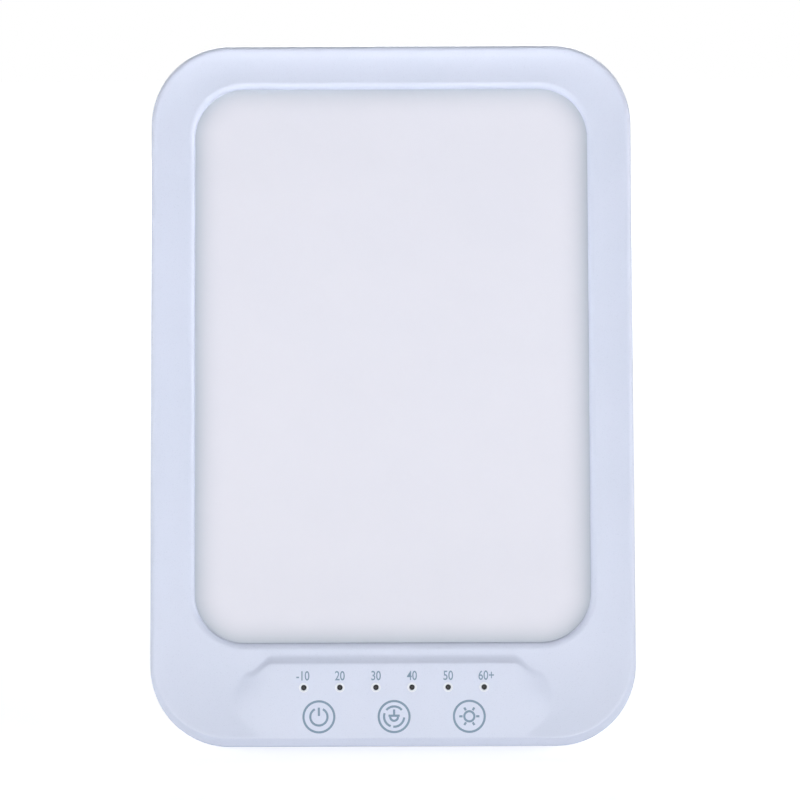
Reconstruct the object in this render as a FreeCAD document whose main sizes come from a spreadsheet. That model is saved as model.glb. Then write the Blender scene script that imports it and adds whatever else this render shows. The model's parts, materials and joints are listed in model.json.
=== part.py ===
import FreeCAD, Part
import math
import os
import Sketcher

from FreeCAD import Vector

# A desk lamp for light therapy: a flat, upright panel that leans back on a fold-out leg.
#
# The panel is drawn standing straight up: X to the right, Y from the front face rearwards (the ridge
# of the front face is Y = 0) and Z up from its lower edge. A Placement then leans it back about the
# foot strip, so that the middle of the strip's resting face is the origin of the lamp. The leg is
# drawn hanging from its hinge axis, and its Placement swings it open.

SIZES = [
    # alias, value in millimetres (or degrees, or a count)
    ("lamp_width", "165.5"),
    ("lamp_height", "240"),
    ("corner_radius", "27.5"),
    ("lean", "15"),
    # front frame: a crowned bezel round the window, with a raised control plateau below it
    ("frame_depth", "14"),
    ("wall", "2.2"),
    ("edge_roll", "3"),
    ("ridge_flat", "0.4"),
    ("crown_drop", "1.4"),
    ("window_width", "135"),
    ("window_height", "190"),
    ("window_chin", "34.8"),
    ("window_corner", "17"),
    ("lip_width", "2.4"),
    ("lip_round", "1.8"),
    ("plateau_width", "82"),
    ("shoulder_gap", "2.8"),
    ("plateau_slant_across", "4.5"),
    ("plateau_slant_down", "5.5"),
    ("plateau_spread", "11"),
    ("shoulder", "4.4"),
    ("shoulder_root", "0.5"),
    ("dot_count", "6"),
    ("dot_pitch", "12.3"),
    ("dot_height", "20.1"),
    ("dot_bore", "1.6"),
    ("icon_pitch", "25.6"),
    ("icon_height", "10.3"),
    # light engine, from the window rearwards
    ("diffuser_overlap", "2"),
    ("diffuser_thick", "2"),
    ("fit_gap", "0.3"),
    ("rib_thick", "1.2"),
    ("gasket_thick", "0.8"),
    ("mixing_depth", "8.4"),
    ("reflector_wall", "1.6"),
    ("reflector_taper", "5.5"),
    ("led_board_inset", "3.5"),
    ("led_board_corner", "3"),
    ("led_board_thick", "1.2"),
    ("led_columns", "7"),
    ("led_rows", "10"),
    ("led_column_pitch", "17.5"),
    ("led_row_pitch", "17.5"),
    ("led_wide", "3.5"),
    ("led_tall", "2.8"),
    ("led_thick", "0.8"),
    ("led_screw_inset", "8"),
    ("led_screw_rise", "21"),
    ("led_screw_bore", "2.2"),
    ("led_screw_length", "6"),
    ("led_screw_head", "5"),
    ("led_screw_head_thick", "1.4"),
    ("led_boss", "6"),
    # control board behind the plateau
    ("control_width", "118"),
    ("control_bottom", "5"),
    ("control_top", "28.5"),
    ("control_thick", "1.6"),
    ("control_post", "4.6"),
    ("control_post_width", "5"),
    ("control_post_inset", "4"),
    ("control_screw_bore", "1.8"),
    ("control_screw_length", "3.5"),
    ("control_screw_head", "3.6"),
    ("control_screw_head_thick", "1.2"),
    ("touch_pad_width", "9"),
    ("guide_half_height", "2"),
    ("guide_end", "3"),
    ("guide_pin_gap", "0.1"),
    ("guide_recess", "0.3"),
    ("dot_led_wide", "2"),
    ("dot_led_tall", "1.25"),
    ("dot_led_thick", "0.8"),
    ("part_height", "17"),
    ("chip_width", "7"),
    ("chip_thick", "1"),
    ("inductor_width", "8"),
    ("inductor_thick", "4"),
    ("inductor_across", "22"),
    ("capacitor_width", "6.3"),
    ("capacitor_tall", "5.4"),
    ("capacitor_across", "18"),
    ("capacitor_pitch", "8"),
    # the inlet, this far out from the wall of the leg's recess
    ("jack_across", "4.9"),
    ("jack_width", "9"),
    ("jack_tall", "10"),
    ("jack_gap", "0.3"),
    ("jack_bore", "5.8"),
    ("jack_bore_depth", "9.5"),
    ("jack_pin", "2"),
    ("jack_pin_length", "8"),
    # the lead's plug, its middle this far in from the other end of the board
    ("plug_across", "15"),
    ("plug_width", "6"),
    ("plug_tall", "5"),
    ("plug_thick", "4"),
    ("plug_height", "22"),
    ("led_plug_rise", "5"),
    ("lead_width", "1.4"),
    ("lead_pitch", "2.5"),
    ("lead_bend", "6"),
    ("lead_straight", "1.5"),
    # rear cover: a tapered tray with an open-ended recess for the leg
    ("inlet_bore", "11"),
    ("cover_reveal", "0.5"),
    ("cover_inset", "5"),
    ("cover_round", "2.5"),
    ("tongue_length", "3"),
    ("tongue_thick", "1.4"),
    ("tongue_gap", "0.15"),
    ("board_gap", "1.1"),
    ("recess_wall", "1.8"),
    ("screw_inset", "9.15"),
    ("screw_rise", "24"),
    ("screw_bore", "2.6"),
    ("screw_clear", "0.3"),
    ("screw_head", "5"),
    ("screw_head_thick", "1.8"),
    ("screw_well", "5.6"),
    ("screw_sunk", "6"),
    ("screw_engagement", "8"),
    ("pilot_extra", "1"),
    ("frame_boss", "6"),
    ("cover_boss", "7.4"),
    ("vent_count", "9"),
    ("vent_pitch", "8"),
    ("vent_width", "2"),
    ("vent_height", "26"),
    ("vent_rise", "195"),
    # foot strip under the rear cover
    ("foot_setback", "0.5"),
    ("foot_deep", "4.2"),
    ("foot_thick", "1.2"),
    ("foot_length", "96"),
    # fold-out leg and its hinge
    ("hinge_height", "112"),
    ("open_angle", "27"),
    ("leg_width", "62"),
    ("leg_thick", "5.4"),
    ("leg_gap", "0.9"),
    ("leg_side_gap", "0.8"),
    ("leg_sunk", "0.8"),
    ("leg_corner", "8"),
    ("leg_skin", "1.8"),
    ("leg_rim", "3"),
    ("leg_rib", "2"),
    ("leg_bays", "4"),
    ("barrel_radius", "3.2"),
    ("heel_length", "8"),
    ("heel_gap", "0.1"),
    ("heel_clear", "0.8"),
    ("pin_width", "3"),
    ("pin_clearance", "0.05"),
    ("pin_engagement", "9"),
    ("hinge_block", "8"),
    ("hinge_block_half", "4.5"),
    ("washer_thick", "0.6"),
    ("pad_thick", "2.5"),
]

doc = FreeCAD.newDocument("LightTherapyLamp")
sheet = doc.addObject("Spreadsheet::Sheet", "Dim")
for row, (alias, number) in enumerate(SIZES, start=1):
    sheet.set(f"A{row}", alias.replace("_", " "))
    sheet.set(f"B{row}", number)
    sheet.setAlias(f"B{row}", alias)
doc.recompute()

# ---- places worked out from the sizes, as expressions on the sheet

HALF_WIDTH = "(Dim.lamp_width / 2)"
WINDOW_TOP = "(Dim.window_chin + Dim.window_height)"
WINDOW_MIDDLE = "(Dim.window_chin + Dim.window_height / 2)"
RIDGE_INSET = "(Dim.edge_roll + Dim.ridge_flat)"
PLATEAU_TOP = "(Dim.window_chin - Dim.shoulder_gap - Dim.shoulder)"

# depths behind the ridge of the front face, in the order of the stack
FACE_BACK = "(Dim.crown_drop + Dim.wall)"
DIFFUSER_BACK = f"({FACE_BACK} + Dim.diffuser_thick)"
REFLECTOR_FRONT = f"({DIFFUSER_BACK} + Dim.gasket_thick)"
LED_BOARD_FRONT = f"({REFLECTOR_FRONT} + Dim.mixing_depth)"
LED_BOARD_BACK = f"({LED_BOARD_FRONT} + Dim.led_board_thick)"
RECESS_INSIDE = f"({LED_BOARD_BACK} + Dim.board_gap)"
RECESS_FLOOR = f"({RECESS_INSIDE} + Dim.recess_wall)"
LEG_INNER = f"({RECESS_FLOOR} + Dim.leg_gap)"
HINGE_DEPTH = f"({LEG_INNER} + Dim.leg_thick / 2)"
REAR = f"({LEG_INNER} + Dim.leg_thick + Dim.leg_sunk)"
REAR_INSIDE = f"({REAR} - Dim.wall)"
CONTROL_FRONT = f"({FACE_BACK} + Dim.control_post)"
CONTROL_BACK = f"({CONTROL_FRONT} + Dim.control_thick)"
SCREW_SEAT = f"({REAR} - Dim.screw_sunk)"

# the leg and its recess
RECESS_HALF = "(Dim.leg_width / 2 + Dim.leg_side_gap)"
HEEL_REACH = f"({HINGE_DEPTH} - {RECESS_FLOOR} - Dim.heel_gap)"
RECESS_TOP = f"(Dim.hinge_height + sqrt({HEEL_REACH} ^ 2 + Dim.heel_length ^ 2) + Dim.heel_clear)"
HINGE_BLOCK_END = f"({RECESS_HALF} + Dim.hinge_block)"


def cover_edge(depth):
    """Height of the rear cover's tapered underside at a depth behind the ridge."""
    slope = f"(Dim.cover_inset - Dim.cover_reveal) / ({REAR} - Dim.frame_depth)"
    return f"(Dim.cover_reveal + ({depth} - Dim.frame_depth) * {slope})"


FOOT_FRONT = "(Dim.frame_depth + Dim.foot_setback)"
FOOT_BACK = f"({FOOT_FRONT} + Dim.foot_deep)"


def ground(depth):
    """Height of the table's surface in the upright panel's own frame, at a depth behind the ridge."""
    return f"({cover_edge(FOOT_FRONT)} - Dim.foot_thick + ({depth} - {FOOT_FRONT}) * tan(Dim.lean))"


BASE_DEPTH = f"({FOOT_FRONT} + Dim.foot_deep / 2)"
BASE_HEIGHT = ground(BASE_DEPTH)


def leaned_y(depth, height):
    """Y, on the standing lamp, of a point of the upright panel."""
    return f"(({depth} - {BASE_DEPTH}) * cos(Dim.lean) + ({height} - {BASE_HEIGHT}) * sin(Dim.lean))"


def leaned_z(depth, height):
    """Z, on the standing lamp, of a point of the upright panel."""
    return f"(({height} - {BASE_HEIGHT}) * cos(Dim.lean) - ({depth} - {BASE_DEPTH}) * sin(Dim.lean))"


HINGE_Y = leaned_y(HINGE_DEPTH, "Dim.hinge_height")
HINGE_Z = leaned_z(HINGE_DEPTH, "Dim.hinge_height")
LEG_TILT = "(Dim.open_angle - Dim.lean)"
LEG_LENGTH = f"({HINGE_Z} / cos({LEG_TILT}) - Dim.pad_thick)"


# ---- drawing helpers

SAME_PLACE = 1e-5
SCREW_SIDES = 8
BOSS_SIDES = 12
DOT_SIDES = 16
# a quarter round in three facets, from its start to its end
ROUND_TURNS = ("0", "30", "60", "90")


def value(expression):
    """The number that an expression on the sheet gives now."""
    result = sheet.evalExpression(expression)
    return float(getattr(result, "Value", result))


def new_body(name):
    body = doc.addObject("PartDesign::Body", name)
    body.Label = name
    return body


def sketch_on(body, plane, offset="0"):
    """A sketch on one of the body's own planes, moved along that plane's normal."""
    sketch = body.newObject("Sketcher::SketchObject", f"{body.Label}_sketch")
    support = next(feature for feature in body.Origin.OriginFeatures if feature.Role == plane)
    sketch.AttachmentSupport = [(support, "")]
    sketch.MapMode = "FlatFace"
    sketch.setExpression("AttachmentOffset.Base.z", offset)
    return sketch


def facing_sketch(body, depth="0"):
    """A sketch seen from the front (x across, y up), at a depth behind the body's XZ plane."""
    return sketch_on(body, "XZ_Plane", f"-({depth})")


def side_sketch(body):
    """A sketch seen from the side (x rearwards, y up), in the lamp's middle plane."""
    return sketch_on(body, "YZ_Plane")


def hold(sketch, kind, expression, *where):
    """Adds a dimension to a sketch and binds it to the sheet."""
    index = sketch.addConstraint(Sketcher.Constraint(kind, *where, value(expression)))
    sketch.setExpression(f"Constraints[{index}]", expression)


def hold_point(sketch, geometry, point, x, y):
    """Holds one point of a sketch at (x, y) from the sketch's origin."""
    hold(sketch, "DistanceX", x, -1, 1, geometry, point)
    hold(sketch, "DistanceY", y, -1, 1, geometry, point)


def polygon(sketch, corners):
    """A closed outline, each of its corners held from the sketch's origin."""
    places = [Vector(value(x), value(y), 0) for x, y in corners]
    first = sketch.GeometryCount
    sketch.addGeometry([Part.LineSegment(*ends) for ends in zip(places, places[1:] + places[:1])])
    constraints = []
    for number, place in enumerate(places):
        line, previous = first + number, first + (number - 1) % len(corners)
        constraints.append(Sketcher.Constraint("Coincident", line, 1, previous, 2))
        constraints.append(Sketcher.Constraint("DistanceX", -1, 1, line, 1, place.x))
        constraints.append(Sketcher.Constraint("DistanceY", -1, 1, line, 1, place.y))
    held = sketch.addConstraint(constraints)
    for number, (x, y) in enumerate(corners):
        sketch.setExpression(f"Constraints[{held[3 * number + 1]}]", x)
        sketch.setExpression(f"Constraints[{held[3 * number + 2]}]", y)


def rectangle(sketch, left, right, bottom, top):
    polygon(sketch, [(left, bottom), (right, bottom), (right, top), (left, top)])


def box_at(sketch, x, y, wide, tall):
    """A rectangle round a middle point."""
    rectangle(
        sketch, f"{x} - {wide} / 2", f"{x} + {wide} / 2", f"{y} - {tall} / 2", f"{y} + {tall} / 2"
    )


def rounded_rectangle(sketch, left, right, bottom, top, radius):
    """Four corner arcs, held by their centres, and four lines tangent to them."""
    low, high = f"{bottom} + {radius}", f"{top} - {radius}"
    near, far = f"{left} + {radius}", f"{right} - {radius}"
    centres = [(near, low), (far, low), (far, high), (near, high)]
    first = sketch.GeometryCount
    turns = [180, 270, 0, 90]
    arcs = []
    for (x, y), turn in zip(centres, turns):
        whole = Part.Circle(Vector(value(x), value(y), 0), Vector(0, 0, 1), value(radius))
        arcs.append(Part.ArcOfCircle(whole, math.radians(turn), math.radians(turn + 90)))
        sketch.addGeometry(arcs[-1])
    for arc, following in zip(arcs, arcs[1:] + arcs[:1]):
        sketch.addGeometry(Part.LineSegment(arc.EndPoint, following.StartPoint))
    for number, (x, y) in enumerate(centres):
        arc, line, following = first + number, first + 4 + number, first + (number + 1) % 4
        sketch.addConstraint(Sketcher.Constraint("Tangent", arc, 2, line, 1))
        sketch.addConstraint(Sketcher.Constraint("Tangent", line, 2, following, 1))
        if number:
            sketch.addConstraint(Sketcher.Constraint("Equal", first, arc))
        hold_point(sketch, arc, 3, x, y)
    hold(sketch, "Radius", radius, first)


def lamp_outline(sketch, inset="0"):
    """The lamp's own outline, drawn in by an inset."""
    rounded_rectangle(
        sketch,
        f"-{HALF_WIDTH} + {inset}",
        f"{HALF_WIDTH} - {inset}",
        f"{inset}",
        f"Dim.lamp_height - {inset}",
        f"(Dim.corner_radius - {inset})",
    )


def window_outline(sketch, growth="0"):
    """The window's outline, grown outwards by an amount (or drawn in by a negative one)."""
    rounded_rectangle(
        sketch,
        f"-Dim.window_width / 2 - ({growth})",
        f"Dim.window_width / 2 + ({growth})",
        f"Dim.window_chin - ({growth})",
        f"{WINDOW_TOP} + ({growth})",
        f"(Dim.window_corner + ({growth}))",
    )


def circle(sketch, x, y, width):
    round_line = Part.Circle(Vector(value(x), value(y), 0), Vector(0, 0, 1), value(width) / 2)
    index = sketch.addGeometry(round_line)
    hold_point(sketch, index, 3, x, y)
    hold(sketch, "Diameter", width, index)


def flats(sketch, places, width, sides):
    """Small round forms drawn with a few flats: polygons with their corners on a circle."""
    turns = [360 / sides * (number + 0.5) for number in range(sides)]
    for x, y in places:
        polygon(
            sketch,
            [(f"{x} + ({width}) / 2 * cos({turn})", f"{y} + ({width}) / 2 * sin({turn})") for turn in turns],
        )


def extrude(body, kind, sketch, length, reversed_way=False, both_ways=False):
    feature = body.newObject(f"PartDesign::{kind}", f"{body.Label}_{kind.lower()}")
    feature.Profile = sketch
    feature.setExpression("Length", length)
    feature.Reversed = reversed_way
    feature.Midplane = both_ways
    return feature


def pad(body, sketch, length):
    """Grows material rearwards from a facing sketch."""
    return extrude(body, "Pad", sketch, length, reversed_way=True)


def cut(body, sketch, length):
    """Removes material rearwards from a facing sketch."""
    return extrude(body, "Pocket", sketch, length)


def loft(body, kind, first, *others):
    feature = body.newObject(f"PartDesign::{kind}", f"{body.Label}_{kind.lower()}")
    feature.Profile = first
    feature.Sections = list(others)
    feature.Ruled = True
    return feature


def row_of(body, feature, sketch, step, count, axis="H_Axis", reversed_way=False):
    """Repeats a feature along an axis of its sketch, count times, a step apart."""
    pattern = body.newObject("PartDesign::LinearPattern", f"{body.Label}_row")
    pattern.Originals = [feature]
    pattern.Direction = (sketch, [axis])
    pattern.Reversed = reversed_way
    pattern.setExpression("Length", f"{step} * ({count} - 1)")
    pattern.setExpression("Occurrences", count)
    body.Tip = pattern
    return pattern


def plate(name, outline, front, thickness, holes=(), hole_width="0"):
    """A flat piece: an outline drawn at a depth, its thickness, and screw holes through it."""
    body = new_body(name)
    sketch = facing_sketch(body, front)
    outline(sketch)
    flats(sketch, holes, hole_width, SCREW_SIDES)
    pad(body, sketch, thickness)
    return body


def screws(name, places, seat, bore, length, head, head_thick, head_faces_front=False):
    """A set of alike pan-head screws, each a head and a shank, seated at one depth."""
    body = new_body(name)
    head_start = f"{seat} - {head_thick}" if head_faces_front else seat
    shank_start = seat if head_faces_front else f"{seat} - {length}"
    head_sketch = facing_sketch(body, head_start)
    flats(head_sketch, places, head, SCREW_SIDES)
    pad(body, head_sketch, head_thick)
    shank_sketch = facing_sketch(body, shank_start)
    flats(shank_sketch, places, bore, SCREW_SIDES)
    pad(body, shank_sketch, length)


def both_sides(x, heights):
    """The same heights on the left and on the right of the lamp's middle."""
    return [(f"{side}{x}", height) for side in ("-", "") for height in heights]


# ---- front frame: crowned bezel, window, control plateau, seats and bosses behind it

SCREW_X = f"({HALF_WIDTH} - Dim.screw_inset)"
SCREW_HEIGHTS = ["Dim.screw_rise", "Dim.lamp_height / 2", "Dim.lamp_height - Dim.screw_rise"]
SCREW_PLACES = both_sides(SCREW_X, SCREW_HEIGHTS)
CONTROL_X = "(Dim.control_width / 2 - Dim.control_post_inset)"
CONTROL_HEIGHTS = [
    "Dim.control_bottom + Dim.control_post_inset",
    "Dim.control_top - Dim.control_post_inset",
]
CONTROL_PLACES = both_sides(CONTROL_X, CONTROL_HEIGHTS)
FIRST_DOT = "-Dim.dot_pitch * (Dim.dot_count - 1) / 2"


def plateau_outline(sketch, growth):
    """The control plateau's edge: a wide trapezium with slanted upper corners."""
    top = f"{PLATEAU_TOP} + {growth}"
    corner = f"{top} - Dim.plateau_slant_down"
    half = f"Dim.plateau_width / 2 + {growth}"
    wider = f"{half} + Dim.plateau_slant_across"
    widest = f"{half} + Dim.plateau_spread"
    polygon(
        sketch,
        [
            (f"-({widest})", RIDGE_INSET),
            (widest, RIDGE_INSET),
            (wider, corner),
            (half, top),
            (f"-({half})", top),
            (f"-({wider})", corner),
        ],
    )


front_frame = new_body("front_frame")


def front_ring(outline, depth, size):
    """A ring of the front frame: an outline at a depth, drawn in or grown by a size."""
    ring = facing_sketch(front_frame, depth)
    outline(ring, size)
    return ring


# the outside is a straight wall that rolls over into the ridge
outside = [front_ring(lamp_outline, "Dim.frame_depth", "0")]
for turn in ROUND_TURNS:
    roll_depth = f"Dim.edge_roll * (1 - sin({turn}))"
    outside.append(front_ring(lamp_outline, roll_depth, f"(Dim.edge_roll * (1 - cos({turn})))"))
loft(front_frame, "AdditiveLoft", *outside)


def between(start, end, share):
    """A size part of the way from one size to another."""
    return f"(({start}) * (1 - {share}) + ({end}) * {share})"


def crown_depth(share):
    """Depth of the hollow face at a share of its width: it drops fast at first, then levels out."""
    return f"(Dim.crown_drop * (1 - (1 - {share}) ^ 2))"


def crown_outline(sketch, share):
    """A rounded rectangle part of the way from the ridge to the window's lip."""
    half = between(f"{HALF_WIDTH} - {RIDGE_INSET}", "Dim.window_width / 2 + Dim.lip_width", share)
    low = between(RIDGE_INSET, "Dim.window_chin - Dim.lip_width", share)
    high = between(f"Dim.lamp_height - {RIDGE_INSET}", f"{WINDOW_TOP} + Dim.lip_width", share)
    corner = between(f"Dim.corner_radius - {RIDGE_INSET}", "Dim.window_corner + Dim.lip_width", share)
    rounded_rectangle(sketch, f"-{half}", half, low, high, corner)


# the face is hollow between the ridge and the lip, and so is the shoulder of the plateau
HOLLOW_SHARES = ("0", "0.5", "1")
crown = [front_ring(crown_outline, crown_depth(share), share) for share in HOLLOW_SHARES]
loft(front_frame, "SubtractiveLoft", *crown)

shoulders = [
    front_ring(plateau_outline, crown_depth(share), f"(Dim.shoulder * {share})") for share in HOLLOW_SHARES
]
shoulders.append(
    front_ring(
        plateau_outline, "Dim.crown_drop + Dim.shoulder_root", "(Dim.shoulder + Dim.shoulder_root)"
    )
)
loft(front_frame, "AdditiveLoft", *shoulders)

window = facing_sketch(front_frame)
window_outline(window)
cut(front_frame, window, f"{FACE_BACK} + Dim.fit_gap")

# the lip rounds over from the face into the window
LIP_TURNS = ("0", "45", "90")
lip = [front_ring(window_outline, "0", "Dim.lip_round")]
for turn in LIP_TURNS:
    lip_depth = f"Dim.crown_drop + Dim.lip_round * (1 - cos({turn}))"
    lip.append(front_ring(window_outline, lip_depth, f"Dim.lip_round * (1 - sin({turn}))"))
loft(front_frame, "SubtractiveLoft", *lip)

cavity = facing_sketch(front_frame, FACE_BACK)
lamp_outline(cavity, "Dim.wall")
cut(front_frame, cavity, f"Dim.frame_depth - {FACE_BACK}")

DIFFUSER_SLACK = "Dim.diffuser_overlap + Dim.fit_gap"
RIB_DEPTH = f"{REFLECTOR_FRONT} - {FACE_BACK}"
rib = facing_sketch(front_frame, FACE_BACK)
window_outline(rib, DIFFUSER_SLACK)
window_outline(rib, f"{DIFFUSER_SLACK} + Dim.rib_thick")
pad(front_frame, rib, RIB_DEPTH)

bosses = facing_sketch(front_frame, FACE_BACK)
flats(bosses, SCREW_PLACES, "Dim.frame_boss", BOSS_SIDES)
pad(front_frame, bosses, f"Dim.frame_depth - {FACE_BACK}")
pilots = facing_sketch(front_frame, "Dim.frame_depth - Dim.screw_engagement - Dim.pilot_extra")
flats(pilots, SCREW_PLACES, "Dim.screw_bore", SCREW_SIDES)
cut(front_frame, pilots, "Dim.screw_engagement + Dim.pilot_extra")

posts = facing_sketch(front_frame, FACE_BACK)
flats(posts, CONTROL_PLACES, "Dim.control_post_width", BOSS_SIDES)
pad(front_frame, posts, "Dim.control_post")
post_pilots = facing_sketch(front_frame, f"{CONTROL_BACK} - Dim.control_screw_length - Dim.pilot_extra")
flats(post_pilots, CONTROL_PLACES, "Dim.control_screw_bore", SCREW_SIDES)
cut(front_frame, post_pilots, "Dim.control_screw_length + Dim.pilot_extra")

dot = facing_sketch(front_frame)
flats(dot, [(FIRST_DOT, "Dim.dot_height")], "Dim.dot_bore", DOT_SIDES)
dot_hole = cut(front_frame, dot, FACE_BACK)
row_of(front_frame, dot_hole, dot, "Dim.dot_pitch", "Dim.dot_count")

# ---- light engine: opal diffuser, gasket, white reflector, LED board

plate(
    "diffuser", lambda sketch: window_outline(sketch, "Dim.diffuser_overlap"), FACE_BACK, "Dim.diffuser_thick"
)

gasket = new_body("diffuser_gasket")
gasket_ring = facing_sketch(gasket, DIFFUSER_BACK)
window_outline(gasket_ring)
window_outline(gasket_ring, "Dim.diffuser_overlap")
pad(gasket, gasket_ring, "Dim.gasket_thick")

reflector = new_body("reflector_frame")
INNER_FACE = "Dim.diffuser_overlap - Dim.reflector_wall"
for kind, growth in (("AdditiveLoft", "Dim.diffuser_overlap"), ("SubtractiveLoft", INNER_FACE)):
    near_ring = facing_sketch(reflector, REFLECTOR_FRONT)
    window_outline(near_ring, growth)
    far_ring = facing_sketch(reflector, LED_BOARD_FRONT)
    window_outline(far_ring, f"{growth} - Dim.reflector_taper")
    loft(reflector, kind, near_ring, far_ring)

BOARD_GROWTH = "(Dim.diffuser_overlap - Dim.led_board_inset)"
BOARD_LOW = f"(Dim.window_chin - {BOARD_GROWTH})"
BOARD_HIGH = f"({WINDOW_TOP} + {BOARD_GROWTH})"
BOARD_HALF = f"(Dim.window_width / 2 + {BOARD_GROWTH})"
LED_SCREW_X = f"({BOARD_HALF} - Dim.led_screw_inset)"
LED_SCREW_HEIGHTS = [
    f"{BOARD_LOW} + Dim.led_screw_rise",
    WINDOW_MIDDLE,
    f"{BOARD_HIGH} - Dim.led_screw_rise",
]
LED_SCREW_PLACES = both_sides(LED_SCREW_X, LED_SCREW_HEIGHTS)
plate(
    "led_board",
    lambda sketch: rounded_rectangle(
        sketch, f"-{BOARD_HALF}", BOARD_HALF, BOARD_LOW, BOARD_HIGH, "Dim.led_board_corner"
    ),
    LED_BOARD_FRONT,
    "Dim.led_board_thick",
    LED_SCREW_PLACES,
    "Dim.led_screw_bore",
)

led_chips = new_body("led_chips")
chip_corner = facing_sketch(led_chips, f"{LED_BOARD_FRONT} - Dim.led_thick")
box_at(
    chip_corner,
    "-Dim.led_column_pitch * (Dim.led_columns - 1) / 2",
    f"{WINDOW_MIDDLE} - Dim.led_row_pitch * (Dim.led_rows - 1) / 2",
    "Dim.led_wide",
    "Dim.led_tall",
)
first_chip = pad(led_chips, chip_corner, "Dim.led_thick")
chips = row_of(led_chips, first_chip, chip_corner, "Dim.led_column_pitch", "Dim.led_columns")
chips.Direction2 = (chip_corner, ["V_Axis"])
chips.setExpression("Length2", "Dim.led_row_pitch * (Dim.led_rows - 1)")
chips.setExpression("Occurrences2", "Dim.led_rows")

screws(
    "led_board_screws",
    LED_SCREW_PLACES,
    LED_BOARD_FRONT,
    "Dim.led_screw_bore",
    "Dim.led_screw_length",
    "Dim.led_screw_head",
    "Dim.led_screw_head_thick",
    head_faces_front=True,
)

# ---- control board with its touch pads, dot lights, parts and power inlet

plate(
    "control_board",
    lambda sketch: rectangle(
        sketch, "-Dim.control_width / 2", "Dim.control_width / 2", "Dim.control_bottom", "Dim.control_top"
    ),
    CONTROL_FRONT,
    "Dim.control_thick",
    CONTROL_PLACES,
    "Dim.control_screw_bore",
)

screws(
    "control_board_screws",
    CONTROL_PLACES,
    CONTROL_BACK,
    "Dim.control_screw_bore",
    "Dim.control_screw_length",
    "Dim.control_screw_head",
    "Dim.control_screw_head_thick",
)

touch_pads = new_body("touch_pads")
touch_faces = facing_sketch(touch_pads, FACE_BACK)
ICON_PLACES = [(x, "Dim.icon_height") for x in ("-Dim.icon_pitch", "0", "Dim.icon_pitch")]
flats(touch_faces, ICON_PLACES, "Dim.touch_pad_width", BOSS_SIDES)
pad(touch_pads, touch_faces, "Dim.control_post")

DOT_LED_FRONT = f"({CONTROL_FRONT} - Dim.dot_led_thick)"
light_guide = new_body("light_guide")
guide_bar = facing_sketch(light_guide, FACE_BACK)
GUIDE_HALF = "Dim.dot_pitch * (Dim.dot_count - 1) / 2 + Dim.guide_end"
GUIDE_LOW = "Dim.dot_height - Dim.guide_half_height"
rectangle(guide_bar, f"-({GUIDE_HALF})", GUIDE_HALF, GUIDE_LOW, "Dim.dot_height + Dim.guide_half_height")
pad(light_guide, guide_bar, f"{DOT_LED_FRONT} - {FACE_BACK}")
guide_pin = facing_sketch(light_guide, "Dim.guide_recess")
flats(guide_pin, [(FIRST_DOT, "Dim.dot_height")], "Dim.dot_bore - 2 * Dim.guide_pin_gap", DOT_SIDES)
first_pin = pad(light_guide, guide_pin, f"{FACE_BACK} - Dim.guide_recess")
row_of(light_guide, first_pin, guide_pin, "Dim.dot_pitch", "Dim.dot_count")

dot_leds = new_body("indicator_leds")
dot_led = facing_sketch(dot_leds, DOT_LED_FRONT)
box_at(dot_led, FIRST_DOT, "Dim.dot_height", "Dim.dot_led_wide", "Dim.dot_led_tall")
first_led = pad(dot_leds, dot_led, "Dim.dot_led_thick")
row_of(dot_leds, first_led, dot_led, "Dim.dot_pitch", "Dim.dot_count")


def block(name, x, height, wide, tall, front, thickness):
    """A square part that stands on a board."""
    return plate(name, lambda sketch: box_at(sketch, x, height, wide, tall), front, thickness)


block(
    "control_chip",
    "0",
    "Dim.part_height",
    "Dim.chip_width",
    "Dim.chip_width",
    CONTROL_BACK,
    "Dim.chip_thick",
)
block(
    "driver_inductor",
    "Dim.inductor_across",
    "Dim.part_height",
    "Dim.inductor_width",
    "Dim.inductor_width",
    CONTROL_BACK,
    "Dim.inductor_thick",
)

capacitors = new_body("driver_capacitors")
cans = facing_sketch(capacitors, CONTROL_BACK)
CAN_PLACES = [
    ("-Dim.capacitor_across", "Dim.part_height"),
    ("-Dim.capacitor_across - Dim.capacitor_pitch", "Dim.part_height"),
]
flats(cans, CAN_PLACES, "Dim.capacitor_width", BOSS_SIDES)
pad(capacitors, cans, "Dim.capacitor_tall")

JACK_X = f"-({RECESS_HALF} + Dim.recess_wall + Dim.jack_across + Dim.jack_width / 2)"
JACK_MOUTH = f"({REAR_INSIDE} - Dim.jack_gap)"
dc_jack = block(
    "dc_jack",
    JACK_X,
    "Dim.part_height",
    "Dim.jack_width",
    "Dim.jack_tall",
    CONTROL_BACK,
    f"{JACK_MOUTH} - {CONTROL_BACK}",
)
socket = facing_sketch(dc_jack, f"{JACK_MOUTH} - Dim.jack_bore_depth")
circle(socket, JACK_X, "Dim.part_height", "Dim.jack_bore")
cut(dc_jack, socket, "Dim.jack_bore_depth")

jack_pin = new_body("dc_jack_pin")
pin_root = facing_sketch(jack_pin, f"{JACK_MOUTH} - Dim.jack_bore_depth")
flats(pin_root, [(JACK_X, "Dim.part_height")], "Dim.jack_pin", BOSS_SIDES)
pad(jack_pin, pin_root, "Dim.jack_pin_length")

PLUG_X = "(Dim.control_width / 2 - Dim.plug_across)"
block(
    "board_connector",
    PLUG_X,
    "Dim.plug_height",
    "Dim.plug_width",
    "Dim.plug_tall",
    CONTROL_BACK,
    "Dim.plug_thick",
)
LED_PLUG_LOW = f"({BOARD_LOW} + Dim.led_plug_rise)"
block(
    "led_connector",
    PLUG_X,
    f"{LED_PLUG_LOW} + Dim.plug_tall / 2",
    "Dim.plug_width",
    "Dim.plug_tall",
    LED_BOARD_BACK,
    "Dim.plug_thick",
)


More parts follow.
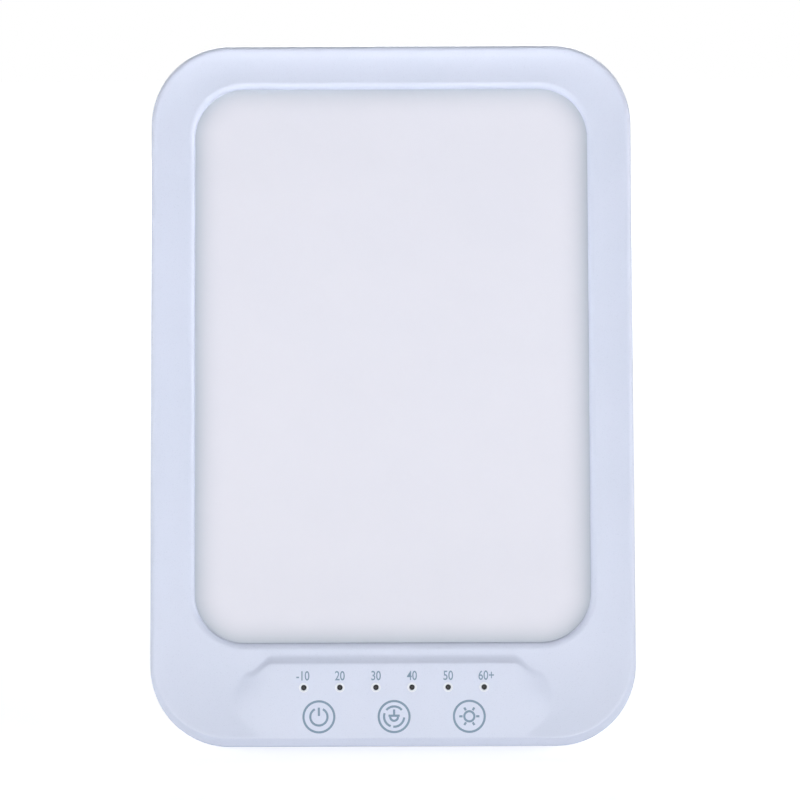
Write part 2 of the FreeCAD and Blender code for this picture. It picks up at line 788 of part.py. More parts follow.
def lead(name, x):
    """A supply lead: straight up, a step rearwards, and straight up into the other connector."""
    body = new_body(name)
    front = f"({CONTROL_BACK} + Dim.plug_thick / 2)"
    back = f"({LED_BOARD_BACK} + Dim.plug_thick / 2)"
    start = "(Dim.plug_height + Dim.plug_tall / 2)"
    step_start = f"({start} + Dim.lead_straight)"
    step_end = f"({step_start} + Dim.lead_bend)"
    path = sketch_on(body, "YZ_Plane", x)
    route = [(front, start), (front, step_start), (back, step_end), (back, LED_PLUG_LOW)]
    points = [Vector(value(y), value(z), 0) for y, z in route]
    path.addGeometry([Part.LineSegment(*ends) for ends in zip(points, points[1:])])
    for number, place in enumerate(route[:-1]):
        hold_point(path, number, 1, *place)
        if number:
            path.addConstraint(Sketcher.Constraint("Coincident", number - 1, 2, number, 1))
    hold_point(path, number, 2, *route[-1])
    section = sketch_on(body, "XY_Plane", start)
    flats(section, [(x, front)], "Dim.lead_width", SCREW_SIDES)
    pipe = body.newObject("PartDesign::AdditivePipe", f"{name}_pipe")
    pipe.Profile = section
    pipe.Spine = (path, ["Edge1", "Edge2", "Edge3"])
    pipe.Transition = "Right corner"


lead("led_lead_red", f"({PLUG_X} + Dim.lead_pitch / 2)")
lead("led_lead_black", f"({PLUG_X} - Dim.lead_pitch / 2)")

# ---- rear cover: tapered tray, tongue, leg recess with its hinge blocks, bosses, vents, inlet

rear_cover = new_body("rear_cover")


def tray_section(depth, inset):
    section = facing_sketch(rear_cover, depth)
    lamp_outline(section, f"({inset})")
    return section


# the outside tapers from the parting line, and turns into the rear face by a round in facets
SIDE_END = f"({REAR} - Dim.cover_round)"
outside = [tray_section("Dim.frame_depth", "Dim.cover_reveal")]
for turn in ROUND_TURNS:
    depth = f"{SIDE_END} + Dim.cover_round * sin({turn})"
    inset = f"{cover_edge(SIDE_END)} + Dim.cover_round * (1 - cos({turn}))"
    outside.append(tray_section(depth, inset))
loft(rear_cover, "AdditiveLoft", *outside)

INSIDE_END = f"{cover_edge(REAR_INSIDE)} + Dim.wall"
inside = [
    tray_section("Dim.frame_depth", "Dim.cover_reveal + Dim.wall"),
    tray_section(REAR_INSIDE, INSIDE_END),
]
loft(rear_cover, "SubtractiveLoft", *inside)

tongue = facing_sketch(rear_cover, "Dim.frame_depth - Dim.tongue_length")
lamp_outline(tongue, "(Dim.wall + Dim.tongue_gap)")
lamp_outline(tongue, "(Dim.wall + Dim.tongue_gap + Dim.tongue_thick)")
pad(rear_cover, tongue, "2 * Dim.tongue_length")

WALL_MIDDLE = f"({REAR} - Dim.wall / 2)"
HALF_WALL = "Dim.wall / 2"
housing = side_sketch(rear_cover)
polygon(
    housing,
    [
        (RECESS_INSIDE, f"{cover_edge(RECESS_INSIDE)} + {HALF_WALL}"),
        (WALL_MIDDLE, f"{cover_edge(WALL_MIDDLE)} + {HALF_WALL}"),
        (WALL_MIDDLE, f"{RECESS_TOP} + Dim.recess_wall"),
        (RECESS_INSIDE, f"{RECESS_TOP} + Dim.recess_wall"),
    ],
)
extrude(rear_cover, "Pad", housing, f"2 * ({RECESS_HALF} + Dim.recess_wall)", both_ways=True)

hinge_blocks = side_sketch(rear_cover)
BLOCK_LOW, BLOCK_HIGH = (f"Dim.hinge_height {side} Dim.hinge_block_half" for side in "-+")
rectangle(hinge_blocks, RECESS_INSIDE, WALL_MIDDLE, BLOCK_LOW, BLOCK_HIGH)
extrude(rear_cover, "Pad", hinge_blocks, f"2 * {HINGE_BLOCK_END}", both_ways=True)

bosses = facing_sketch(rear_cover, "Dim.frame_depth")
flats(bosses, SCREW_PLACES, "Dim.cover_boss", BOSS_SIDES)
pad(rear_cover, bosses, f"{WALL_MIDDLE} - Dim.frame_depth")
board_bosses = facing_sketch(rear_cover, LED_BOARD_BACK)
flats(board_bosses, LED_SCREW_PLACES, "Dim.led_boss", BOSS_SIDES)
pad(rear_cover, board_bosses, f"{WALL_MIDDLE} - {LED_BOARD_BACK}")

recess = side_sketch(rear_cover)
BELOW = "-Dim.cover_inset"
rectangle(recess, RECESS_FLOOR, f"{REAR} + Dim.wall", BELOW, RECESS_TOP)
extrude(rear_cover, "Pocket", recess, f"2 * {RECESS_HALF}", both_ways=True)

pin_bores = side_sketch(rear_cover)
circle(pin_bores, HINGE_DEPTH, "Dim.hinge_height", "Dim.pin_width")
extrude(rear_cover, "Pocket", pin_bores, f"2 * {HINGE_BLOCK_END}", both_ways=True)

wells = facing_sketch(rear_cover, SCREW_SEAT)
flats(wells, SCREW_PLACES, "Dim.screw_well", DOT_SIDES)
cut(rear_cover, wells, f"{REAR} - {SCREW_SEAT}")
clearances = facing_sketch(rear_cover, "Dim.frame_depth")
flats(clearances, SCREW_PLACES, "Dim.screw_bore + 2 * Dim.screw_clear", SCREW_SIDES)
cut(rear_cover, clearances, f"{SCREW_SEAT} - Dim.frame_depth")
board_pilots = facing_sketch(rear_cover, LED_BOARD_BACK)
flats(board_pilots, LED_SCREW_PLACES, "Dim.led_screw_bore", SCREW_SIDES)
cut(rear_cover, board_pilots, "Dim.led_screw_length - Dim.led_board_thick + Dim.pilot_extra")

inlet = facing_sketch(rear_cover, REAR_INSIDE)
circle(inlet, JACK_X, "Dim.part_height", "Dim.inlet_bore")
cut(rear_cover, inlet, "Dim.wall")

vent = facing_sketch(rear_cover, REAR_INSIDE)
FIRST_VENT = "-Dim.vent_pitch * (Dim.vent_count - 1) / 2"
box_at(vent, FIRST_VENT, "Dim.vent_rise", "Dim.vent_width", "Dim.vent_height")
first_vent = cut(rear_cover, vent, "Dim.wall")
row_of(rear_cover, first_vent, vent, "Dim.vent_pitch", "Dim.vent_count")

screws(
    "housing_screws",
    SCREW_PLACES,
    SCREW_SEAT,
    "Dim.screw_bore",
    f"({SCREW_SEAT} - Dim.frame_depth + Dim.screw_engagement)",
    "Dim.screw_head",
    "Dim.screw_head_thick",
)

base_foot = new_body("base_foot")
strip = side_sketch(base_foot)
polygon(
    strip,
    [
        (FOOT_FRONT, ground(FOOT_FRONT)),
        (FOOT_BACK, ground(FOOT_BACK)),
        (FOOT_BACK, cover_edge(FOOT_BACK)),
        (FOOT_FRONT, cover_edge(FOOT_FRONT)),
    ],
)
extrude(base_foot, "Pad", strip, "Dim.foot_length", both_ways=True)

# ---- hinge pins and washers, fixed in the rear cover


def pair(name, inner, outer, width, bore=None):
    """The same round piece on the left and on the right of the hinge, between two distances."""
    body = new_body(name)
    for side in ("-", ""):
        section = sketch_on(body, "YZ_Plane", f"{side}{inner}")
        circle(section, HINGE_DEPTH, "Dim.hinge_height", width)
        if bore:
            circle(section, HINGE_DEPTH, "Dim.hinge_height", bore)
        extrude(body, "Pad", section, f"{outer} - {inner}", reversed_way=side == "-")


PIN_INNER = "(Dim.leg_width / 2 - Dim.pin_engagement)"
PIN_RUNNING = "(Dim.pin_width + 2 * Dim.pin_clearance)"
WASHER_INNER = f"({RECESS_HALF} - (Dim.leg_side_gap + Dim.washer_thick) / 2)"
pair("hinge_pins", PIN_INNER, HINGE_BLOCK_END, "Dim.pin_width")
pair(
    "friction_washers",
    WASHER_INNER,
    f"({WASHER_INNER} + Dim.washer_thick)",
    "2 * Dim.barrel_radius",
    PIN_RUNNING,
)

# ---- leg, drawn hanging from its hinge axis: plate, barrel, heel, ribbed inner side, bore, rubber pad

stand_leg = new_body("stand_leg")
leg_plan = facing_sketch(stand_leg, "-Dim.leg_thick / 2")
rounded_rectangle(
    leg_plan,
    "-Dim.leg_width / 2",
    "Dim.leg_width / 2",
    f"-{LEG_LENGTH}",
    "Dim.leg_corner",
    "Dim.leg_corner",
)
pad(stand_leg, leg_plan, "Dim.leg_thick")
top_trim = side_sketch(stand_leg)
rectangle(top_trim, "-Dim.leg_thick", "Dim.leg_thick", "0", "2 * Dim.leg_corner")
extrude(stand_leg, "Pocket", top_trim, "2 * Dim.leg_width", both_ways=True)

barrel = side_sketch(stand_leg)
circle(barrel, "0", "0", "2 * Dim.barrel_radius")
extrude(stand_leg, "Pad", barrel, "Dim.leg_width", both_ways=True)

heel = side_sketch(stand_leg)
FOOT_OF_HEEL = (f"-{HEEL_REACH} * cos(Dim.open_angle)", f"{HEEL_REACH} * sin(Dim.open_angle)")
HEEL_TIP = (
    f"{FOOT_OF_HEEL[0]} + Dim.heel_length * sin(Dim.open_angle)",
    f"{FOOT_OF_HEEL[1]} + Dim.heel_length * cos(Dim.open_angle)",
)
HEEL_SHOULDER = ("Dim.leg_thick / 2", "Dim.heel_length / 2")
polygon(heel, [("0", "0"), ("Dim.leg_thick / 2", "0"), HEEL_SHOULDER, HEEL_TIP, FOOT_OF_HEEL])
extrude(stand_leg, "Pad", heel, "Dim.leg_width", both_ways=True)

bays = facing_sketch(stand_leg, "-Dim.leg_thick / 2")
BAY_TOP = "(-2 * Dim.barrel_radius)"
BAY_RUN = f"({LEG_LENGTH} - 2 * Dim.barrel_radius - Dim.leg_rim)"
BAY_STEP = f"(({BAY_RUN} + Dim.leg_rib) / Dim.leg_bays)"
BAY_HALF = "Dim.leg_width / 2 - Dim.leg_corner + Dim.leg_rim"
rectangle(bays, f"-({BAY_HALF})", BAY_HALF, f"{BAY_TOP} - {BAY_STEP} + Dim.leg_rib", BAY_TOP)
first_bay = cut(stand_leg, bays, "Dim.leg_thick - Dim.leg_skin")
row_of(stand_leg, first_bay, bays, BAY_STEP, "Dim.leg_bays", "V_Axis", reversed_way=True)

bore = side_sketch(stand_leg)
circle(bore, "0", "0", PIN_RUNNING)
extrude(stand_leg, "Pocket", bore, "2 * Dim.leg_width", both_ways=True)

stand_pad = new_body("stand_pad")
pad_side = side_sketch(stand_pad)


def table_line(y):
    """Height of the table's surface in the opened leg's own frame."""
    return f"(-({HINGE_Z} + ({y}) * sin({LEG_TILT})) / cos({LEG_TILT}))"


LEG_FRONT, LEG_REAR = "-Dim.leg_thick / 2", "Dim.leg_thick / 2"
polygon(
    pad_side,
    [
        (LEG_FRONT, table_line(LEG_FRONT)),
        (LEG_REAR, table_line(LEG_REAR)),
        (LEG_REAR, f"-{LEG_LENGTH}"),
        (LEG_FRONT, f"-{LEG_LENGTH}"),
    ],
)
extrude(stand_pad, "Pad", pad_side, "Dim.leg_width - 2 * Dim.leg_corner", both_ways=True)

# ---- the panel leans back about the foot strip, and the leg hangs from the hinge, swung open

LEG_PIECES = [stand_leg, stand_pad]
bodies = [thing for thing in doc.Objects if thing.isDerivedFrom("PartDesign::Body")]
for body in bodies:
    on_leg = body in LEG_PIECES
    body.Placement.Rotation = FreeCAD.Rotation(Vector(1, 0, 0), 1)
    body.setExpression("Placement.Rotation.Angle", LEG_TILT if on_leg else "-Dim.lean")
    body.setExpression("Placement.Base.y", HINGE_Y if on_leg else leaned_y("0", "0"))
    body.setExpression("Placement.Base.z", HINGE_Z if on_leg else leaned_z("0", "0"))
doc.recompute()

# ---- checks, then one file for each piece

for thing in doc.Objects:
    if {"Invalid", "Error"} & set(thing.State):
        raise RuntimeError(f"{thing.Name} did not build: {thing.State}")
    if thing.TypeId in ("PartDesign::Pocket", "PartDesign::SubtractiveLoft"):
        if not thing.Shape.Volume < thing.BaseFeature.Shape.Volume - SAME_PLACE:
            raise RuntimeError(f"{thing.Name} removes nothing")
for body in bodies:
    if body.Shape.isNull() or not body.Shape.isValid():
        raise RuntimeError(f"{body.Label} is not a valid shape")

os.makedirs("parts", exist_ok=True)
for body in bodies:
    body.Shape.exportStep(f"parts/{body.Label}.step")
    print(f"{body.Label}: {len(body.Shape.Solids)} solid(s), {body.Shape.Volume:.1f} mm3")
print(f"hinge axis at y = {value(HINGE_Y):.4f}, z = {value(HINGE_Z):.4f} mm")
print(f"depth {value(REAR):.3f} mm, leg {value(LEG_LENGTH):.3f} mm")
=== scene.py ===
# %% [markdown]
# # Light therapy lamp
# The lamp is a flat panel that leans back on a fold-out leg. Its front is one moulded frame with a crowned
# bezel, an opal light window, and a raised strip with timer dots and touch keys. The CAD model already
# says where every piece is, so this lesson only dresses it: meshes where the eye needs a finer curve,
# and a material for every surface.

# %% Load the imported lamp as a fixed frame
import json
import math

import bmesh
import bpy
import numpy as np
from mathutils import Matrix, Vector


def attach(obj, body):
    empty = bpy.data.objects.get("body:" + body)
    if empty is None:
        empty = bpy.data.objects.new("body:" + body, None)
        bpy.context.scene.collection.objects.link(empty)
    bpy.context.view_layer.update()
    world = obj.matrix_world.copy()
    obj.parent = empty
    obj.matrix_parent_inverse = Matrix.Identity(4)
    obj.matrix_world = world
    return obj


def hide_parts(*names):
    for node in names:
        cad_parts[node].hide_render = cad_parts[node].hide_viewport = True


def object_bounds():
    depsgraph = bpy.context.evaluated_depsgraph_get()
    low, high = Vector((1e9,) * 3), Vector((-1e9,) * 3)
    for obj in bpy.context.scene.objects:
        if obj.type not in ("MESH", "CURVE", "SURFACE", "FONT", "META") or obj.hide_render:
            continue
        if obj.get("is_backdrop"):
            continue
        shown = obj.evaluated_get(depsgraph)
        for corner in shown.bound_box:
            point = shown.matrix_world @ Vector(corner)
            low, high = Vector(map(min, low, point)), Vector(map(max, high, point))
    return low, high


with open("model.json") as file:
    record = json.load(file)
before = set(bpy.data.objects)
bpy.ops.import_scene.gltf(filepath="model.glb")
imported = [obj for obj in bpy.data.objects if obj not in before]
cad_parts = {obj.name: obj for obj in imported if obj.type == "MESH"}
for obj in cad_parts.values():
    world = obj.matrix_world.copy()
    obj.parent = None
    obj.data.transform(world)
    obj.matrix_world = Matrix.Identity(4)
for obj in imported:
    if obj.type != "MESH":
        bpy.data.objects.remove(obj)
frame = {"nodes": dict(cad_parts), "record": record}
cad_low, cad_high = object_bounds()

MM = 0.001
scene = bpy.context.scene
nodes = frame["nodes"]
print(f"{len(nodes)} CAD nodes, {(cad_high - cad_low) / MM} mm over all")

# %% [markdown]
# The panel leans, but it is far easier to model it standing straight up. So every panel piece is drawn in
# the panel's own frame, with X to the right, Y rearwards from the ridge of the front face and Z up from
# the lower edge, and one matrix leans it back. The power inlet's axis tells the lean.

# %% The panel's own frame
record = frame["record"]
inlet = next(mount for mount in record["mounts"] if mount["name"] == "power_inlet")
LEAN = math.atan2(-inlet["axis"][2], inlet["axis"][1])
upright = Matrix.Rotation(LEAN, 4, "X")


def node_box(name, turned):
    """Lowest and highest corner of a CAD node after a turn."""
    points = np.array([turned @ vertex.co for vertex in nodes[name].data.vertices])
    return Vector(points.min(0)), Vector(points.max(0))


front_low = node_box("front_frame", upright)[0]
PANEL = upright.inverted() @ Matrix.Translation((0, front_low.y, front_low.z))


def panel_box(name):
    """Lowest and highest corner of a CAD node in the panel's own frame."""
    return node_box(name, PANEL.inverted())


HALF_WIDTH = panel_box("front_frame")[1].x
HEIGHT = panel_box("front_frame")[1].z
PARTING = panel_box("front_frame")[1].y
REAR = panel_box("rear_cover")[1].y
print(f"lean {math.degrees(LEAN):.1f} degrees, panel {2 * HALF_WIDTH / MM:.1f} x {HEIGHT / MM:.1f} mm")

# %% [markdown]
# The frame gives the overall sizes, the parting line and the light window. The finer shapes of the face are
# below what a solid model is drawn to, so they are set here, in millimetres.

# %% Sizes of the front face
CORNER = 27.5 * MM
WALL = 2.2 * MM
# The outer edge rolls over: how far it reaches in across the face, and how deep down the wall.
ROLL_ACROSS = 2.1 * MM
ROLL_DEEP = 5 * MM
# The bottom edge has a tighter roll, and above it a narrow flat that stands upright when the lamp leans.
BOTTOM_ROLL = 1.2 * MM
UPRIGHT_FLAT = 3.02 * MM
# A flat ridge runs round the face, and from there the face drops in a hollow towards the window.
RIDGE_FLAT = 0.4 * MM
CROWN_DROP = 1.55 * MM
# The opal sheet is larger than the window by this much on every side.
DIFFUSER_OVERLAP = 2 * MM
diffuser_low, diffuser_high = panel_box("diffuser")
WINDOW_HALF = diffuser_high.x - DIFFUSER_OVERLAP
WINDOW_LOW = diffuser_low.z + DIFFUSER_OVERLAP
WINDOW_HIGH = diffuser_high.z - DIFFUSER_OVERLAP
WINDOW_CORNER = 17 * MM
FACE_BACK = diffuser_low.y
print(f"window {2 * WINDOW_HALF / MM:.1f} x {(WINDOW_HIGH - WINDOW_LOW) / MM:.1f} mm")

# %% [markdown]
# ## Camera
# A portrait lens keeps the sides of the panel almost parallel. The camera stands 60 cm away, a little above
# the table, and looks almost squarely at the leaning face.

# %% Camera
CAMERA_DISTANCE = 0.6
CAMERA_BELOW_NORMAL = math.radians(2.6)
CAMERA_ROLL = math.radians(0.22)
LENS = 79.3
AIM_RIGHT = 2.7 * MM
AIM_DOWN = 2.7 * MM
camera_data = bpy.data.cameras.new("camera")
camera_data.lens = LENS
camera = bpy.data.objects.new("camera", camera_data)
scene.collection.objects.link(camera)
scene.camera = camera

rise = LEAN - CAMERA_BELOW_NORMAL
back = Vector((0, -math.cos(rise), math.sin(rise)))
facing = (-back).to_track_quat("-Z", "Y").to_matrix().to_4x4()
aim = PANEL @ Vector((0, 0, HEIGHT / 2)) + facing @ Vector((AIM_RIGHT, -AIM_DOWN, 0))
place = Matrix.Translation(aim + back * CAMERA_DISTANCE)
camera.matrix_world = place @ facing @ Matrix.Rotation(-CAMERA_ROLL, 4, "Z")
print(f"camera {math.degrees(rise):.1f} degrees above the table, {CAMERA_DISTANCE} m away")

# %% [markdown]
# ## Colours and nodes
# Colours are given as sRGB hex values, but the renderer adds up light in linear values. One
# function turns the one into the other. A second small function adds a shader node, sets its settings and
# links its inputs, so that each material reads as a short list.

# %% Helpers for colours and nodes
def linear(hex_colour):
    """An sRGB hex colour as linear RGBA."""
    parts = [int(hex_colour[start:start + 2], 16) / 255 for start in (1, 3, 5)]
    return [part / 12.92 if part <= 0.04045 else ((part + 0.055) / 1.055) ** 2.4 for part in parts] + [1]


def add(tree, kind, inputs=None, **settings):
    """A new node. An input that is another node's output becomes a link, anything else a value."""
    made = tree.nodes.new(kind)
    for name, setting in settings.items():
        setattr(made, name, setting)
    for socket, source in (inputs or {}).items():
        if isinstance(source, bpy.types.NodeSocket):
            tree.links.new(source, made.inputs[socket])
        else:
            made.inputs[socket].default_value = source
    return made


# %% [markdown]
# ## Background
# The world does two jobs. For the camera, and in mirrors and glass, it is plain white paper. For every
# other ray it is a dim room, brighter round the horizon than overhead, which is what lets the underside of
# each edge glow and its top side go dim. A Light Path node tells the two kinds of ray apart.

# %% World
scene.view_settings.view_transform = "Standard"
HORIZON_LIGHT = 0.3
OVERHEAD_LIGHT = 0.02
HORIZON_UNTIL = 0.3
OVERHEAD_FROM = 0.85


def background_rays(tree):
    """1 for rays that should meet the white background: from the camera, and in mirrors and glass."""
    rays = add(tree, "ShaderNodeLightPath")
    seen = rays.outputs["Is Camera Ray"]
    for kind in ("Is Glossy Ray", "Is Transmission Ray"):
        seen = add(tree, "ShaderNodeMath", {0: seen, 1: rays.outputs[kind]}, operation="ADD").outputs[0]
    return seen


world = bpy.data.worlds.new("studio")
scene.world = world
world.use_nodes = True
tree = world.node_tree
tree.nodes.clear()
direction = add(tree, "ShaderNodeTexCoord")
height = add(tree, "ShaderNodeSeparateXYZ", {"Vector": direction.outputs["Generated"]})
sky = add(tree, "ShaderNodeMapRange", {"Value": height.outputs["Z"],
                                       "From Min": HORIZON_UNTIL, "From Max": OVERHEAD_FROM,
                                       "To Min": HORIZON_LIGHT, "To Max": OVERHEAD_LIGHT},
          interpolation_type="SMOOTHSTEP")
lit = add(tree, "ShaderNodeBackground", {"Color": linear("#FFFFFF"), "Strength": sky.outputs["Result"]})
white = add(tree, "ShaderNodeBackground", {"Color": (1, 1, 1, 1), "Strength": 1})
seen = add(tree, "ShaderNodeMixShader", {0: background_rays(tree), 1: lit.outputs[0], 2: white.outputs[0]})
add(tree, "ShaderNodeOutputWorld", {"Surface": seen.outputs[0]})
print(f"world: {HORIZON_LIGHT} round the horizon, {OVERHEAD_LIGHT} overhead")

# %% [markdown]
# ## Floor
# The lamp stands on a sweep of matt paper. The paper has to fade into the white background and still hold
# the lamp's shadow. So it is a matt white that also gives off light of its own, for the camera and for
# reflections only, and this glow grows with the distance until the paper is as white as the background.

# %% Floor
FLOOR_HALF = 6.0
mesh = bpy.data.meshes.new("floor")
mesh.from_pydata([(x * FLOOR_HALF, y * FLOOR_HALF, 0) for x, y in ((-1, -1), (1, -1), (1, 1), (-1, 1))],
                 [], [(0, 1, 2, 3)])
floor = bpy.data.objects.new("floor", mesh)
scene.collection.objects.link(floor)
floor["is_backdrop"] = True

# %% Paper
GLOW_NEAR = 0.62
GLOW_FAR = 1.0
GLOW_START = 0.3
GLOW_END = 1.4
paper = bpy.data.materials.new("matt_paper_sweep")
paper.use_nodes = True
tree = paper.node_tree
tree.nodes.clear()
matt = add(tree, "ShaderNodeBsdfDiffuse", {"Color": linear("#F7F8FB")})
spot = add(tree, "ShaderNodeTexCoord")
away = add(tree, "ShaderNodeVectorMath", {0: spot.outputs["Object"]}, operation="LENGTH")
fade = add(tree, "ShaderNodeMapRange", {"Value": away.outputs["Value"],
                                        "From Min": GLOW_START, "From Max": GLOW_END,
                                        "To Min": GLOW_NEAR, "To Max": GLOW_FAR},
           interpolation_type="SMOOTHSTEP")
glow = add(tree, "ShaderNodeMath", {0: background_rays(tree), 1: fade.outputs["Result"]},
           operation="MULTIPLY")
own = add(tree, "ShaderNodeEmission", {"Color": (1, 1, 1, 1), "Strength": glow.outputs[0]})
both = add(tree, "ShaderNodeAddShader", {0: matt.outputs[0], 1: own.outputs[0]})
add(tree, "ShaderNodeOutputMaterial", {"Surface": both.outputs[0]})
mesh.materials.append(paper)
print(f"paper glows {GLOW_NEAR} near the lamp and {GLOW_FAR} from {GLOW_END} m on")

# %% [markdown]
# ## Lights
# A white, satin object on white paper needs large soft sources, or its edges burn out. A box in front and a
# low strip light the face evenly; the two sides differ a little, which gives the round corners their shape.
# The box behind lights the back and whitens the paper there, and a narrow wash from above does the same in
# front, so the paper throws light up under the lower edges.


# %% Lamps
def soft_lamp(name, place, aim, wide, tall, power, spread=180):
    """A rectangular soft box that looks at a point; a narrow spread is a grid in front of it."""
    data = bpy.data.lights.new(name, "AREA")
    data.shape = "RECTANGLE"
    data.size = wide
    data.size_y = tall
    data.energy = power
    data.spread = math.radians(spread)
    lamp = bpy.data.objects.new(name, data)
    lamp.matrix_world = Matrix.Translation(place) @ (
        (Vector(aim) - Vector(place)).to_track_quat("-Z", "Y").to_matrix().to_4x4()
    )
    lamp.visible_camera = False
    scene.collection.objects.link(lamp)


MIDDLE = (0, 0, 0.12)
soft_lamp("front_soft_box", (0, -2.0, 0.5), MIDDLE, 1.4, 1.4, 4.6)
soft_lamp("left_soft_box", (-1.8, -0.5, 0.4), MIDDLE, 1.0, 1.0, 10)
soft_lamp("right_soft_box", (1.8, -0.5, 0.4), MIDDLE, 1.0, 1.0, 14)
soft_lamp("rear_soft_box", (0, 2.2, 1.0), MIDDLE, 1.4, 1.4, 24)
soft_lamp("floor_wash", (0, -0.8, 1.2), (0, -0.8, 0), 1.0, 1.0, 6, spread=30)
soft_lamp("low_front_strip", (0, -0.9, 0.055), (0, 0, 0.1), 1.6, 0.1, 3.4)
print(f"{len(bpy.data.lights)} soft lamps")

# %% [markdown]
# ## Materials
# Most pieces are moulded plastic. Seen close, a moulding isn't one flat value: its colour drifts a little
# where the melt cooled, its gloss varies, and the spark-eroded tool leaves a fine even grain. One function
# lays these three on a Principled shader, and each material gives it its own colours, gloss and grain size.

# %% The shared moulded surface
# Noise runs from 0 to 1 but seldom leaves this middle range, which is spread over the whole gloss range.
NOISE_LOW = 0.3
NOISE_HIGH = 0.7


def surface(name, colour, drift, roughness, grain, relief, ior=1.5, metallic=0.0, cloud=25,
            stretch=(1, 1, 1)):
    """A Principled material: colour that drifts between two values, uneven gloss and a fine grain.

    grain, cloud and relief are real sizes in millimetres; roughness is its lowest and highest value.
    The colour drifts over patches as large as cloud, and stretch scales the pattern along each axis.
    """
    material = bpy.data.materials.new(name)
    material.use_nodes = True
    tree = material.node_tree
    shader = tree.nodes["Principled BSDF"]
    where = add(tree, "ShaderNodeTexCoord")
    run = add(tree, "ShaderNodeMapping", {"Vector": where.outputs["Object"], "Scale": stretch})
    clouds = add(tree, "ShaderNodeTexNoise",
                 {"Vector": run.outputs[0], "Scale": 1 / (cloud * MM), "Detail": 3})
    fine = add(tree, "ShaderNodeTexNoise",
               {"Vector": run.outputs[0], "Scale": 1 / (grain * MM), "Detail": 2})
    tint = add(tree, "ShaderNodeMix", {0: clouds.outputs[0], 6: linear(colour), 7: linear(drift)},
               data_type="RGBA")
    gloss = add(tree, "ShaderNodeMapRange",
                {"Value": fine.outputs[0], "From Min": NOISE_LOW, "From Max": NOISE_HIGH,
                 "To Min": roughness[0], "To Max": roughness[1]})
    bumps = add(tree, "ShaderNodeBump",
                {"Height": fine.outputs[0], "Distance": relief * MM, "Strength": 1})
    tree.links.new(tint.outputs[2], shader.inputs["Base Color"])
    tree.links.new(gloss.outputs[0], shader.inputs["Roughness"])
    tree.links.new(bumps.outputs[0], shader.inputs["Normal"])
    shader.inputs["Metallic"].default_value = metallic
    shader.inputs["IOR"].default_value = ior
    return material


# %% [markdown]
# The outside of the lamp is made of few materials. The eye meets the housing's satin white first, so its
# gloss matters most: rough enough for a broad, soft highlight, smooth enough that the lip still shines.

# %% Housing and light window materials
# Injection-moulded ABS in cool white: satin, with a grain of about a third of a millimetre.
housing = surface("moulded_abs_cool_white", "#DBE1F4", "#D6DEF1", (0.26, 0.36), 0.35, 0.004, ior=1.54)
# Cast opal acrylic: the sheet scatters light inside itself, so it has no hard shading of its own.
opal = surface("cast_opal_acrylic", "#ECECF6", "#E8E9F4", (0.42, 0.5), 0.5, 0.002, ior=1.49)
# Smoked acrylic light guide: nearly black until a lamp behind it lights up, and matt at its moulded tips.
smoked = surface("smoked_acrylic_guide", "#07080B", "#0B0D11", (0.4, 0.55), 0.3, 0.001, ior=1.49)
# Two-part ink, pad-printed: thin, matt and slate blue.
ink = surface("pad_printed_slate_ink", "#7C95AD", "#869EB4", (0.5, 0.6), 0.2, 0.002)
# A thin, matt, pale film for the ring round each dot.
pale_ring_film = surface("pale_dot_ring_film", "#F0F4FC", "#ECF1FB", (0.5, 0.6), 0.2, 0.002)
# Moulded silicone rubber: soft sheen, no gloss.
rubber = surface("moulded_silicone_grey", "#B9C0CC", "#B1B9C6", (0.6, 0.75), 0.4, 0.01, ior=1.41)
print(f"{len(bpy.data.materials)} materials so far")

# %% [markdown]
# Metals show up in small places only: screws in their wells, the hinge, the power socket. Bare metal has no
# colour of its own under a highlight, so these are fully metallic and differ in tint and in roughness.

# %% Metals
# Zinc-plated steel screws: pale grey with a slight blue and a fine satin from the plating bath.
zinc = surface("zinc_plated_steel", "#C9CDD2", "#B8BDC4", (0.28, 0.42), 0.15, 0.003, metallic=1, cloud=3)
# Drawn steel pin: polished along its length.
drawn = surface("drawn_steel_pin", "#C4C6C9", "#B5B7BB", (0.15, 0.25), 0.1, 0.002, metallic=1, cloud=4,
                stretch=(0.1, 1, 1))
# Plated brass contact: the warm base shows through a thin, bright coat.
plated = surface("nickel_plated_brass", "#D8CDA4", "#CDBF90", (0.2, 0.3), 0.1, 0.002, metallic=1, cloud=2)
# Deep-drawn aluminium: the can of a capacitor, soft and a little streaked.
can = surface("drawn_aluminium_can", "#D2D4D8", "#C6C9CE", (0.25, 0.35), 0.2, 0.002, metallic=1, cloud=3)

# %% [markdown]
# The pieces inside show through the vents and the socket, and when the housing is taken off. Each gets the
# material it is bought in, with its own colour, gloss and grain.

# %% Inner materials: the light engine
# Moulded polycarbonate filled with white: matt, so that it scatters light instead of mirroring it.
reflective = surface("white_polycarbonate", "#F2F2F0", "#ECECEA", (0.55, 0.7), 0.3, 0.004, ior=1.58)
# Printed solder mask: a thin lacquer with a soft gloss, white under the LEDs and green elsewhere.
white_mask = surface("white_solder_mask", "#EFEFEA", "#E9E9E2", (0.35, 0.45), 0.25, 0.003)
green_mask = surface("green_solder_mask", "#12502C", "#0E4325", (0.25, 0.4), 0.25, 0.004)
# Phosphor in clear silicone: an egg-yolk yellow with a wet look.
phosphor = surface("phosphor_silicone_chip", "#F1D968", "#E7C94C", (0.3, 0.45), 0.2, 0.004, cloud=2)
# Cut closed-cell foam: open cells at the cut make it dull and pitted.
foam = surface("closed_cell_foam", "#2A2A2D", "#1F1F22", (0.8, 0.95), 0.5, 0.05, cloud=4)

# %% Inner materials: the electronics
# Transfer-moulded epoxy of chips and sockets: near black, dull, finely grained.
resin = surface("moulded_black_resin", "#1B1B1C", "#222224", (0.5, 0.65), 0.25, 0.005)
